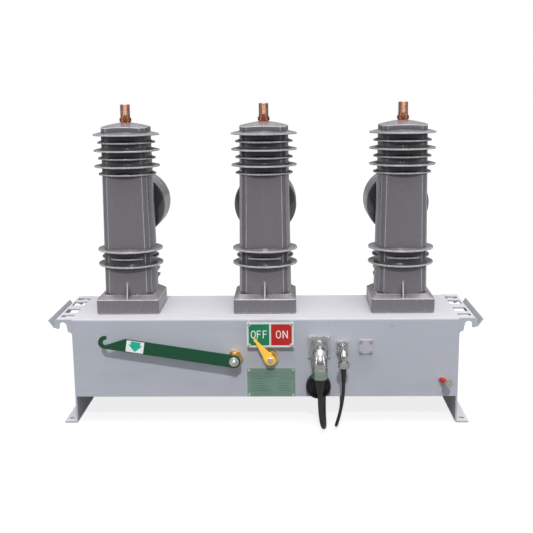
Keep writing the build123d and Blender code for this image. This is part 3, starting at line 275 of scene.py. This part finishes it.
def moulded_resin(name, base, rim):
    """Glossy cast resin with faint flow lines down the tube, paler rims (rubbed wear and a painted
    highlight), a dusty tone and painted light on level faces, painted shade in the gaps and painted
    highlights along the edges.
    """
    material = new_material(name, base, 0.3, coat=0.15)
    round_edges(material, 0.0022)
    bump(material, noise(material, 60.0, 3.0, 0.5, (1.0, 1.0, 0.15)), 0.03, 0.0008)
    bump(material, noise(material, 700.0, 2.0), 0.05, 0.0002)
    streaks = ramp(material, noise(material, 45.0, 4.0, 0.6, (1.0, 1.0, 0.06)), 0.4, 0.7, 0.0, 0.08)
    tint(material, streaks, scaled(base, 1.25))
    blotches = ramp(material, noise(material, 8.0, 4.0), 0.45, 0.75, 0.0, 0.12)
    tint(material, blotches, scaled(base, 0.8))

    # Level faces are tinted paler: a dusty tone and painted light from above
    upward = facing(material)[2]
    level = ramp(material, upward, 0.55, 0.98)
    dust_and_top_light = both(material, level, ramp(material, noise(material, 25.0, 5.0), 0.35, 0.8, 0.1, 0.5))
    tint(material, dust_and_top_light, (0.42, 0.40, 0.42))
    # Rims are tinted paler: rubbed wear and a painted highlight
    rims = ramp(material, openness(material, 0.003, inside=True), 0.90, 0.62)
    wear_and_rim_highlight = both(material, rims, ramp(material, noise(material, 22.0, 4.0), 0.3, 0.7, 0.55, 0.85))
    tint(material, wear_and_rim_highlight, rim)

    # The walls between the lower sheds, corners too, lie in shadow
    up = axes_of(material)[2]
    upright = ramp(material, math_node(material, "ABSOLUTE", upward), 0.5, 0.2)
    wall = both(material, upright, ramp(material, rims, 0.5, 0.1))
    lower_wall = both(material, between(material, up, *lower_gaps, 0.001), wall)
    tint(material, both(material, lower_wall, 0.75), gap_shade)

    # Painted highlights: pale lines along the outward edges
    patchy = ramp(material, noise(material, 30.0, 3.0), 0.3, 0.6, 0.6, 0.95)
    lines = both(material, edge_line(material), patchy)
    outward = ramp(material, openness(material, 0.006), 0.86, 0.96)
    tint(material, both(material, lines, outward), scaled(rim, 1.4))

    # Painted shade: deep gaps are darkest; among the sheds shallow ones are darkened too
    deep = ramp(material, openness(material, 0.042), 0.82, 0.47)
    tint(material, both(material, deep, 0.92), gap_dark)
    among_upper = between(material, up, *upper_sheds, 0.002)
    among_lower = between(material, up, *lower_sheds, 0.002)
    among_sheds = math_node(material, "MAXIMUM", among_upper, among_lower)
    shade = both(material, among_sheds, ramp(material, openness(material, 0.020), 0.93, 0.72))
    tint(material, both(material, shade, 0.78), gap_shade)

    rough = ramp(material, noise(material, 40.0, 4.0, 0.6, (1.0, 1.0, 0.3)), 0.3, 0.7, 0.20, 0.32)
    link(material, rough, shader_of(material).inputs["Roughness"])
    return material


def metal(name, base, roughness, grain=(1.0, 1.0, 1.0), stain=0.2):
    """Bare or plated metal with a fine grain and a little tarnish."""
    material = new_material(name, base, roughness, metallic=1.0)
    round_edges(material, 0.0006)
    bump(material, noise(material, 900.0, 2.0, 0.5, grain), 0.08, 0.0002)
    tarnish = ramp(material, noise(material, 70.0, 4.0), 0.45, 0.75, 0.0, stain)
    tint(material, tarnish, scaled(base, 0.5))
    rough = ramp(material, noise(material, 120.0, 3.0), 0.3, 0.7, 0.75 * roughness, 1.35 * roughness)
    link(material, rough, shader_of(material).inputs["Roughness"])
    return material


def rubber(name, base, roughness=0.5):
    """Black rubber with a soft bloom."""
    material = new_material(name, base, roughness)
    round_edges(material, 0.0008)
    bump(material, noise(material, 800.0, 2.0), 0.12, 0.0002)
    bloom = ramp(material, noise(material, 30.0, 4.0), 0.45, 0.8, 0.0, 0.35)
    tint(material, bloom, (0.055, 0.053, 0.056))
    rough = ramp(material, noise(material, 60.0, 3.0), 0.3, 0.7, roughness - 0.1, roughness + 0.12)
    link(material, rough, shader_of(material).inputs["Roughness"])
    return material


def printed(name, base, roughness=0.4):
    """A printed or enamelled plate colour with faint wear."""
    material = new_material(name, base, roughness, coat=0.06)
    bump(material, noise(material, 500.0, 2.0), 0.06, 0.0002)
    fade = ramp(material, noise(material, 35.0, 4.0), 0.4, 0.75, 0.0, 0.3)
    tint(material, fade, tuple(min(1.0, 1.25 * part + 0.02) for part in base))
    return material


tank_paint = painted_steel("tank_paint", (0.425, 0.447, 0.505))
cover_paint = painted_steel("cover_paint", (0.44, 0.43, 0.47), 0.1)
foot_paint = painted_steel("foot_paint", (0.42, 0.43, 0.47), 0.3)
resin = moulded_resin("pole_resin", (0.150, 0.142, 0.160), (0.52, 0.50, 0.52))
drum_resin = moulded_resin("drum_resin", (0.085, 0.080, 0.092), (0.30, 0.29, 0.31))
copper = metal("copper", (0.42, 0.225, 0.155), 0.30, (0.2, 0.2, 3.0), 0.6)
brass = metal("brass", (0.80, 0.55, 0.22), 0.26)
chrome = metal("plated", (0.50, 0.51, 0.50), 0.17, stain=0.3)
zinc = metal("zinc_plated", (0.66, 0.66, 0.64), 0.26, stain=0.35)
flange_metal = metal("flange_metal", (0.58, 0.59, 0.61), 0.34)
dull_steel = metal("dull_steel", (0.45, 0.46, 0.47), 0.4)
black_rubber = rubber("black_rubber", (0.008, 0.008, 0.009), 0.42)
sheath = rubber("cable_sheath", (0.013, 0.011, 0.014), 0.34)
sign_white = printed("sign_border", (0.62, 0.66, 0.64))
sign_green = printed("sign_green", (0.0, 0.17, 0.075))
sign_red = printed("sign_red", (0.44, 0.008, 0.009))
letter_white = printed("letter_white", (0.75, 0.80, 0.76))
plate_green = printed("plate_green", (0.150, 0.245, 0.195), 0.45)
plate_line = printed("plate_line", (0.085, 0.165, 0.120), 0.5)
pointer_yellow = printed("pointer_yellow", (1.0, 0.60, 0.06), 0.35)
handle_green = painted_steel("handle_green", (0.010, 0.070, 0.033), 0.1, (0.45, 0.58), 0.25)
label_white = printed("label_white", (0.78, 0.80, 0.80))
label_green = printed("label_green", (0.0, 0.40, 0.25))
earth_finish = printed("earth_finish", (0.50, 0.008, 0.002), 0.45)
ceramic = printed("glazed_ceramic", (0.80, 0.80, 0.76), 0.15)
rod_resin = printed("rod_resin", (0.35, 0.07, 0.04), 0.4)

# Tank: a faint welded seam, two stains and a rubbed patch on the front
across, along, up = axes_of(tank_paint)
on_front = ramp(tank_paint, along, tank_front + 0.004, tank_front + 0.002)
seam_width = between(tank_paint, across, -0.0526, -0.0514, 0.0008)
seam = both(tank_paint, seam_width, between(tank_paint, up, 0.078, 0.140, 0.01))
tint(tank_paint, both(tank_paint, both(tank_paint, seam, on_front), 0.22), (0.20, 0.22, 0.27))
for x, z, radius, soft, strength in (
    (0.307, 0.246, 0.0015, 0.006, 0.20),
    (0.171, 0.252, 0.0010, 0.004, 0.16),
    (0.232, 0.150, 0.020, 0.030, 0.10),
):
    stain = both(tank_paint, spot(tank_paint, x, z, radius, soft), on_front)
    tint(tank_paint, both(tank_paint, stain, strength), (0.16, 0.18, 0.23))

# Level paint is tinted paler on top: a dusty tone and painted light from above
for paint in (tank_paint, foot_paint, cover_paint):
    tint(paint, ramp(paint, facing(paint)[2], 0.75, 0.97, 0.0, 0.9), (0.60, 0.585, 0.62))

# Painted highlight: the transformer drums' flanks are tinted paler than their faces
along_arm = math_node(drum_resin, "ABSOLUTE", facing(drum_resin)[1])
tint(drum_resin, ramp(drum_resin, along_arm, 0.75, 0.45, 0.0, 0.8), (0.34, 0.33, 0.35))

# Plugs: a painted reflection of the shop floor's green on their lower leg and nut
up = axes_of(chrome)[2]
tint(chrome, both(chrome, ramp(chrome, up, 0.168, 0.150), ramp(chrome, up, 0.060, 0.062)), (0.33, 0.43, 0.37))

# Terminals: a darker foot and a turned thread on the copper studs, tinned rear collars
across, along, up = axes_of(copper)
thread_pitch, thread_depth = 2.5 * MM, 0.4 * MM
thread(copper, up, thread_pitch, thread_depth, between(copper, up, 0.7500, 0.7735))
thread(copper, along, thread_pitch, thread_depth, between(copper, along, 0.2610, 0.2905))
stud_foot = between(copper, up, 0.7300, 0.7434)
tint(copper, both(copper, stud_foot, 0.8), (0.36, 0.10, 0.04))
at_rear = both(copper, between(copper, along, 0.2500, 0.2611), ramp(copper, up, 0.40, 0.41))
tint(copper, at_rear, (0.62, 0.60, 0.60))

# Earthing bolt: painted boss, red shank, plated head
across, along, up = axes_of(earth_finish)
lean = radians(20.0)
reach = math_node(
    earth_finish, "ADD",
    both(earth_finish, math_node(earth_finish, "SUBTRACT", across, 0.429), sin(lean)),
    both(earth_finish, math_node(earth_finish, "SUBTRACT", along, tank_front), -cos(lean)))
on_boss = ramp(earth_finish, along, tank_front - 0.0024, tank_front - 0.0021)
tint(earth_finish, on_boss, (0.40, 0.435, 0.505))
on_head = ramp(earth_finish, reach, 0.0329, 0.0331)
tint(earth_finish, on_head, (0.46, 0.48, 0.40))
link(earth_finish, on_head, shader_of(earth_finish).inputs["Metallic"])

# Small screws: the blank cover's own are painted with it
across, along, up = axes_of(zinc)
painted_head = both(zinc, ramp(zinc, across, 0.209, 0.211), ramp(zinc, up, 0.28, 0.27))
tint(zinc, painted_head, (0.30, 0.30, 0.33))
link(zinc, ramp(zinc, painted_head, 0.0, 1.0, 1.0, 0.0), shader_of(zinc).inputs["Metallic"])


def dress(material, *names):
    """Give CAD nodes their finish."""
    for name in names:
        thing = bpy.data.objects[name]
        thing.data.materials.clear()
        thing.data.materials.append(material)


dress(tank_paint, "tank_body", "bottom_cover", "left_hanger", "right_hanger")
dress(cover_paint, "blank_cover")
dress(foot_paint, "left_foot", "right_foot")
for letter in "abc":
    dress(resin, f"pole_housing_{letter}")
    dress(drum_resin, f"current_transformer_{letter}")
    dress(copper, f"top_terminal_{letter}", f"rear_terminal_{letter}", f"moving_contact_{letter}")
    dress(ceramic, f"vacuum_interrupter_{letter}")
    dress(rod_resin, f"pull_rod_{letter}")
dress(zinc, "pole_bolts", "front_screws", "pointer_screw", "handle_nut")
dress(flange_metal, "large_socket", "small_socket")
dress(chrome, "large_plug", "small_plug", "large_cable_end", "small_cable_end")
dress(black_rubber, "large_boot", "small_boot", "dust_cap")
dress(sign_white, "sign_plate")
dress(plate_green, "nameplate")
dress(pointer_yellow, "pointer")
dress(handle_green, "handle")
dress(brass, "pointer_bush", "handle_bush")
dress(earth_finish, "earth_bolt")
dress(dull_steel, "main_shaft", "shaft_brackets", "actuator_body", "actuator_armature", "opening_spring",
      "handle_spring", "pointer_shaft", "handle_shaft")


# Mesh helpers

def finish_mesh(name, mesh, material, body, smooth=True):
    """A new object from a bmesh, on a body and with its finish."""
    data = bpy.data.meshes.new(name)
    bmesh.ops.recalc_face_normals(mesh, faces=mesh.faces)
    mesh.to_mesh(data)
    mesh.free()
    thing = bpy.data.objects.new(name, data)
    bpy.context.scene.collection.objects.link(thing)
    data.materials.append(material)
    if smooth:
        data.shade_smooth()
        data.set_sharp_from_angle(angle=radians(35))
    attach(thing, body)
    return thing


def front_panel(mesh, outline, distance, thickness):
    """A flat piece on the front: X and Z outline, its back at a distance in front of the tank."""
    back = tank_front - distance
    near = back - thickness
    ring_back = [mesh.verts.new((x, back, z)) for x, z in outline]
    ring_near = [mesh.verts.new((x, near, z)) for x, z in outline]
    count = len(outline)
    mesh.faces.new(ring_near)
    mesh.faces.new(list(reversed(ring_back)))
    for index in range(count):
        following = (index + 1) % count
        mesh.faces.new((ring_back[index], ring_back[following], ring_near[following], ring_near[index]))


def oval(x_low, x_high, z_low, z_high, steps=32):
    """An upright rounded letter shape, squarer than an ellipse."""
    middle_x, middle_z = (x_low + x_high) / 2, (z_low + z_high) / 2
    half_x, half_z = (x_high - x_low) / 2, (z_high - z_low) / 2
    points = []
    for step in range(steps):
        turn = tau * step / steps
        along, up = cos(turn), sin(turn)
        x = middle_x + half_x * abs(along) ** 0.8 * (1 if along >= 0 else -1)
        z = middle_z + half_z * abs(up) ** 0.8 * (1 if up >= 0 else -1)
        points.append((x, z))
    return points


def ring_panel(mesh, outer, inner, distance, thickness):
    """A flat ring on the front, between two outlines of the same count."""
    back = tank_front - distance
    near = back - thickness
    rows = []
    for outline in (outer, inner):
        rows.append([mesh.verts.new((x, near, z)) for x, z in outline])
        rows.append([mesh.verts.new((x, back, z)) for x, z in outline])
    outer_near, outer_back, inner_near, inner_back = rows
    count = len(outer)
    for index in range(count):
        following = (index + 1) % count
        mesh.faces.new((outer_near[index], outer_near[following], inner_near[following], inner_near[index]))
        mesh.faces.new((outer_near[index], outer_back[index], outer_back[following], outer_near[following]))
        mesh.faces.new((inner_near[index], inner_near[following], inner_back[following], inner_back[index]))


# Sign: two fields cut round at the screws, and its words
sign_low, sign_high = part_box("sign_plate")
sign_face = tank_front - sign_low[1]
sign_middle_z = (sign_low[2] + sign_high[2]) / 2


def cut_field(x_low, x_high, z_low, z_high, cut_left, cut_right):
    """A field's outline, its outer corners cut round the screws."""
    cut = 5.2 * MM
    points = []
    corners = (
        (x_low, z_low, cut_left, 0.0),
        (x_high, z_low, cut_right, 90.0),
        (x_high, z_high, cut_right, 180.0),
        (x_low, z_high, cut_left, 270.0),
    )
    for x, z, rounded, start in corners:
        if not rounded:
            points.append((x, z))
            continue
        for step in range(7):
            angle = radians(start + 90.0 - 15.0 * step)
            points.append((x + cut * cos(angle), z + cut * sin(angle)))
    return points


field_half = 26.2 * MM
field_low = sign_middle_z - field_half
field_high = sign_middle_z + field_half
for name, low, high, left, right, material in (
    ("off_field", -0.0378, 0.0117, True, False, sign_green),
    ("on_field", 0.0161, 0.0661, False, True, sign_red),
):
    mesh = bmesh.new()
    outline = cut_field(low, high, field_low, field_high, left, right)
    front_panel(mesh, outline, sign_face, 0.15 * MM)
    finish_mesh(name, mesh, material, "tank", False)

letter_low = 0.2209
letter_high = 0.2401
stroke = 2.1 * MM
letter_depth = 0.25 * MM


def letter_o(mesh, x_low, x_high):
    outer = oval(x_low, x_high, letter_low, letter_high)
    inner = oval(x_low + stroke, x_high - stroke, letter_low + stroke, letter_high - stroke)
    ring_panel(mesh, outer, inner, sign_face, letter_depth)


def letter_f(mesh, x_low, x_high):
    bar_low = letter_low + 0.47 * (letter_high - letter_low)
    outline = [
        (x_low, letter_low), (x_low + stroke, letter_low), (x_low + stroke, bar_low),
        (x_high - 0.1 * (x_high - x_low), bar_low), (x_high - 0.1 * (x_high - x_low), bar_low + stroke),
        (x_low + stroke, bar_low + stroke), (x_low + stroke, letter_high - stroke),
        (x_high, letter_high - stroke), (x_high, letter_high), (x_low, letter_high),
    ]
    front_panel(mesh, outline, sign_face, letter_depth)


def letter_n(mesh, x_low, x_high):
    outline = [
        (x_low, letter_low), (x_low + stroke, letter_low), (x_low + stroke, letter_high - 2.1 * stroke),
        (x_high - stroke, letter_low), (x_high, letter_low),
        (x_high, letter_high), (x_high - stroke, letter_high),
        (x_high - stroke, letter_low + 2.1 * stroke), (x_low + stroke, letter_high), (x_low, letter_high),
    ]
    front_panel(mesh, outline, sign_face, letter_depth)


mesh = bmesh.new()
letter_o(mesh, -0.0326, -0.0208)
letter_f(mesh, -0.0182, -0.0083)
letter_f(mesh, -0.0037, 0.0062)
finish_mesh("off_word", mesh, letter_white, "tank", False)
mesh = bmesh.new()
letter_o(mesh, 0.0277, 0.0400)
letter_n(mesh, 0.0439, 0.0564)
finish_mesh("on_word", mesh, letter_white, "tank", False)

# Nameplate: generic ruled lines
plate_low, plate_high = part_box("nameplate")
plate_face = tank_front - plate_low[1]

mesh = bmesh.new()
line_rows = (
    (0.16, 0.34, 0.80), (0.18, 0.10, 0.26), (0.27, 0.08, 0.90), (0.355, 0.08, 0.36), (0.355, 0.66, 0.92),
    (0.44, 0.08, 0.30), (0.44, 0.66, 0.90), (0.525, 0.08, 0.34), (0.525, 0.64, 0.92), (0.61, 0.08, 0.40),
    (0.61, 0.66, 0.88), (0.695, 0.08, 0.44), (0.695, 0.64, 0.92), (0.78, 0.08, 0.52), (0.78, 0.66, 0.90),
)
plate_width = plate_high[0] - plate_low[0]
plate_height = plate_high[2] - plate_low[2]
for down, begin, end in line_rows:
    x_low, x_high = plate_low[0] + begin * plate_width, plate_low[0] + end * plate_width
    z = plate_high[2] - down * plate_height
    z_low, z_high = z - 0.9 * MM, z + 0.9 * MM
    outline = [(x_low, z_low), (x_high, z_low), (x_high, z_high), (x_low, z_high)]
    front_panel(mesh, outline, plate_face, 0.12 * MM)
finish_mesh("nameplate_lines", mesh, plate_line, "tank", False)

# Handle label: a white sticker with a plain arrow
handle_pivot = Vector((-0.073, 0.0, 0.1685))
handle_face = tank_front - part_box("handle")[0][1]
handle_lean = radians(9.0)


def on_handle(along, across):
    """X and Z of a point from its distances along and across the handle, in millimetres."""
    x = handle_pivot.x + (-along * cos(handle_lean) + across * sin(handle_lean)) * MM
    z = handle_pivot.z + (along * sin(handle_lean) + across * cos(handle_lean)) * MM
    return (x, z)


mesh = bmesh.new()
label = [(261.5, -14), (219, -14), (219, 14), (261.5, 14)]
front_panel(mesh, [on_handle(*point) for point in label], handle_face, 0.1 * MM)
finish_mesh("handle_label", mesh, label_white, "handle_lever", False)
mesh = bmesh.new()
arrow = [(251, 12.5), (251, 4.5), (256.5, 4.5), (239.5, -12.5), (222.5, 4.5), (228, 4.5), (228, 12.5)]
front_panel(mesh, [on_handle(*point) for point in reversed(arrow)], handle_face + 0.1 * MM, 0.1 * MM)
finish_mesh("handle_arrow", mesh, label_green, "handle_lever", False)

# Opening spring, drawn again as a coil with a mesh of its own
spring_low, spring_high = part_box("opening_spring")
wire = 2.0 * MM
spring_x = (spring_low[0] + spring_high[0]) / 2
spring_y = (spring_low[1] + spring_high[1]) / 2
spring_radius = (spring_high[0] - spring_low[0]) / 2 - wire
spring_turns, spring_steps, wire_sides = 6, 144, 12
mesh = bmesh.new()
rings = []
for step in range(spring_steps + 1):
    share = step / spring_steps
    angle = tau * spring_turns * share
    height = spring_low[2] + wire + (spring_high[2] - spring_low[2] - 2 * wire) * share
    ring = []
    for side in range(wire_sides):
        around = tau * side / wire_sides
        reach = spring_radius + wire * cos(around)
        place = (spring_x + reach * cos(angle), spring_y + reach * sin(angle), height + wire * sin(around))
        ring.append(mesh.verts.new(place))
    rings.append(ring)
for before, after in zip(rings, rings[1:]):
    for side in range(wire_sides):
        following = (side + 1) % wire_sides
        mesh.faces.new((before[side], before[following], after[following], after[side]))
mesh.faces.new(rings[0])
mesh.faces.new(rings[-1])
opening_coil = finish_mesh("opening_spring_coil", mesh, dull_steel, "tank")
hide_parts("opening_spring")
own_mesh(opening_coil)


# Cables: the routes of the frame, then their flat coils
large_route = [
    (0.132, -0.200, 0.101), (0.1325, -0.203, 0.0570), (0.1395, -0.2010, 0.0170), (0.1440, -0.1640, 0.0062),
    (0.1450, -0.075, 0.0062), (0.1506, 0.050, 0.0062), (0.1535, 0.120, 0.0062), (0.1535, 0.185, 0.0062),
]
small_route = [
    (0.1885, -0.183, 0.124), (0.1885, -0.183, 0.091), (0.1795, -0.188, 0.046), (0.1715, -0.181, 0.0150),
    (0.1730, -0.154, 0.0042), (0.1840, -0.090, 0.0042), (0.1970, 0.010, 0.0042), (0.1975, 0.172, 0.0042),
]
points_per_turn = 24


def coil_turns(middle, inner, outer, thick, start, spin, turns, tail):
    """A flat coil of two layers: in along the lower one, up, out along the upper one, and its tail."""
    low = thick / 2 + 0.2 * MM
    rise = 1.045 * thick
    points = []

    def put(angle, radius, height):
        points.append((middle[0] + radius * cos(angle), middle[1] + radius * sin(angle), height))

    steps = round(turns * points_per_turn)
    for step in range(steps + 1):
        share = step / steps
        put(start + spin * tau * turns * share, outer + (inner - outer) * share, low)
    climb = points_per_turn // 4
    after = start + spin * tau * turns
    for step in range(1, climb + 1):
        put(after + spin * tau * step / points_per_turn, inner, low + rise * step / climb)
    after += spin * tau / 4
    for step in range(1, steps + 1):
        share = step / steps
        put(after + spin * tau * turns * share, inner + (outer - inner) * share, low + rise)
    leave = Vector(points[-1])
    points.append(tuple(leave + Vector((-spin * tail * 0.45, 0, 0))))
    points.append(tuple(leave + Vector((-spin * tail, 0, 0))))
    return points


def cable_piece(name, points, thick, material):
    """One smooth tube along its route."""
    data = bpy.data.curves.new(name, "CURVE")
    data.dimensions = "3D"
    spline = data.splines.new("NURBS")
    spline.points.add(len(points) - 1)
    for point, place in zip(spline.points, points):
        point.co = (*place, 1.0)
    spline.order_u = 3
    spline.use_endpoint_u = True
    spline.resolution_u = 3
    data.bevel_depth = thick / 2
    data.bevel_resolution = 4
    data.materials.append(material)
    thing = bpy.data.objects.new(name, data)
    bpy.context.scene.collection.objects.link(thing)
    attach(thing, "tank")
    return thing


large_points = large_route + coil_turns((0.0565, 0.235), 0.047, 0.097, 0.012, 0.0, 1.0, 4.0, 0.066)
small_points = small_route + coil_turns((0.2675, 0.206), 0.032, 0.070, 0.008, pi, -1.0, 4.5, 0.048)
large_lead = cable_piece("large_lead", large_points, 0.012, sheath)
small_lead = cable_piece("small_lead", small_points, 0.008, sheath)
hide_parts("large_cable", "large_coil")
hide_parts("small_cable", "small_coil")

# Floor, backdrop, light and camera
scene = bpy.context.scene
scene.view_settings.view_transform = "Standard"


def white_stage(name, corners):
    mesh = bmesh.new()
    mesh.faces.new([mesh.verts.new(corner) for corner in corners])
    data = bpy.data.meshes.new(name)
    mesh.to_mesh(data)
    mesh.free()
    thing = bpy.data.objects.new(name, data)
    scene.collection.objects.link(thing)
    material = bpy.data.materials.new(name)
    material.use_nodes = True
    shader = shader_of(material)
    shader.inputs["Base Color"].default_value = (0.18, 0.18, 0.18, 1.0)
    shader.inputs["Roughness"].default_value = 0.8
    shader.inputs["Specular IOR Level"].default_value = 0.0
    shader.inputs["Emission Color"].default_value = (1.0, 1.0, 1.0, 1.0)
    path = node(material, "ShaderNodeLightPath")
    seen = math_node(material, "MAXIMUM", path.outputs["Is Camera Ray"], path.outputs["Is Transmission Ray"])
    mirrored = both(material, path.outputs["Is Glossy Ray"], 0.30)
    glow = math_node(material, "ADD", both(material, seen, 0.82), mirrored)
    link(material, glow, shader.inputs["Emission Strength"])
    data.materials.append(material)
    return thing


floor_outline = ((-9.0, -9.0), (9.0, -9.0), (9.0, 12.0), (-9.0, 12.0))
white_stage("floor", [(x, y, -0.5 * MM) for x, y in floor_outline])

world = bpy.data.worlds.new("studio")
scene.world = world
world.use_nodes = True
background = world.node_tree.nodes["Background"]
background.inputs["Color"].default_value = (1.0, 1.0, 1.0, 1.0)


def world_mix(factor, low, high):
    """low where factor is 0, high where it is 1; each a number or a link."""
    mix = node(world, "ShaderNodeMapRange")
    link(world, factor, mix.inputs["Value"])
    for socket, value in ((mix.inputs["To Min"], low), (mix.inputs["To Max"], high)):
        if isinstance(value, float):
            socket.default_value = value
        else:
            link(world, value, socket)
    return mix.outputs["Result"]


# The hall is dark at eye level, for what reflects it, and pale above
direction = parts_of(world, node(world, "ShaderNodeTexCoord").outputs["Generated"])
reflected = ramp(world, direction[2], 0.10, 0.75, 0.22, 1.1)
path = node(world, "ShaderNodeLightPath")
indirect = world_mix(path.outputs["Is Glossy Ray"], 0.36, reflected)
seen = math_node(world, "MAXIMUM", path.outputs["Is Camera Ray"], path.outputs["Is Transmission Ray"])
link(world, world_mix(seen, indirect, 1.0), background.inputs["Strength"])


def aimed(name, data, place, aim):
    thing = bpy.data.objects.new(name, data)
    scene.collection.objects.link(thing)
    thing.location = place
    thing.rotation_euler = (Vector(aim) - Vector(place)).to_track_quat("-Z", "Y").to_euler()
    return thing


def sun(name, azimuth, elevation, strength, spread):
    """A distant lamp; azimuth from the front, positive to the right."""
    data = bpy.data.lights.new(name, "SUN")
    data.energy = strength
    data.angle = radians(spread)
    side, height = radians(azimuth), radians(elevation)
    place = (3 * sin(side) * cos(height), -3 * cos(side) * cos(height), 3 * sin(height))
    return aimed(name, data, place, (0.0, 0.0, 0.0))


def strip(name, place, aim, width, height, power):
    data = bpy.data.lights.new(name, "AREA")
    data.shape = "RECTANGLE"
    data.size = width
    data.size_y = height
    data.energy = power
    return aimed(name, data, place, aim)


sun("key", 0.0, 42.0, 1.78, 3.0)
sun("overhead", 20.0, 80.0, 2.05, 40.0)
for name, side in (("left_strip", -2.3), ("right_strip", 2.3)):
    strip(name, (side, -1.3, 0.75), (0.0, 0.0, 0.75), 0.12, 2.4, 10.0)

camera_data = bpy.data.cameras.new("camera")
camera_data.lens = 59.09
camera_data.sensor_width = 36.0
camera_data.dof.use_dof = False
camera = bpy.data.objects.new("camera", camera_data)
scene.collection.objects.link(camera)
camera.location = (0.0622, tank_front - 2.046, 0.8058)
camera_down, camera_left, camera_roll = radians(11.38), radians(1.56), radians(-0.63)
aim = Euler((radians(90.0) - camera_down, 0.0, camera_left)).to_matrix()
camera.rotation_euler = (aim @ Matrix.Rotation(camera_roll, 3, "Z")).to_euler()
scene.camera = camera
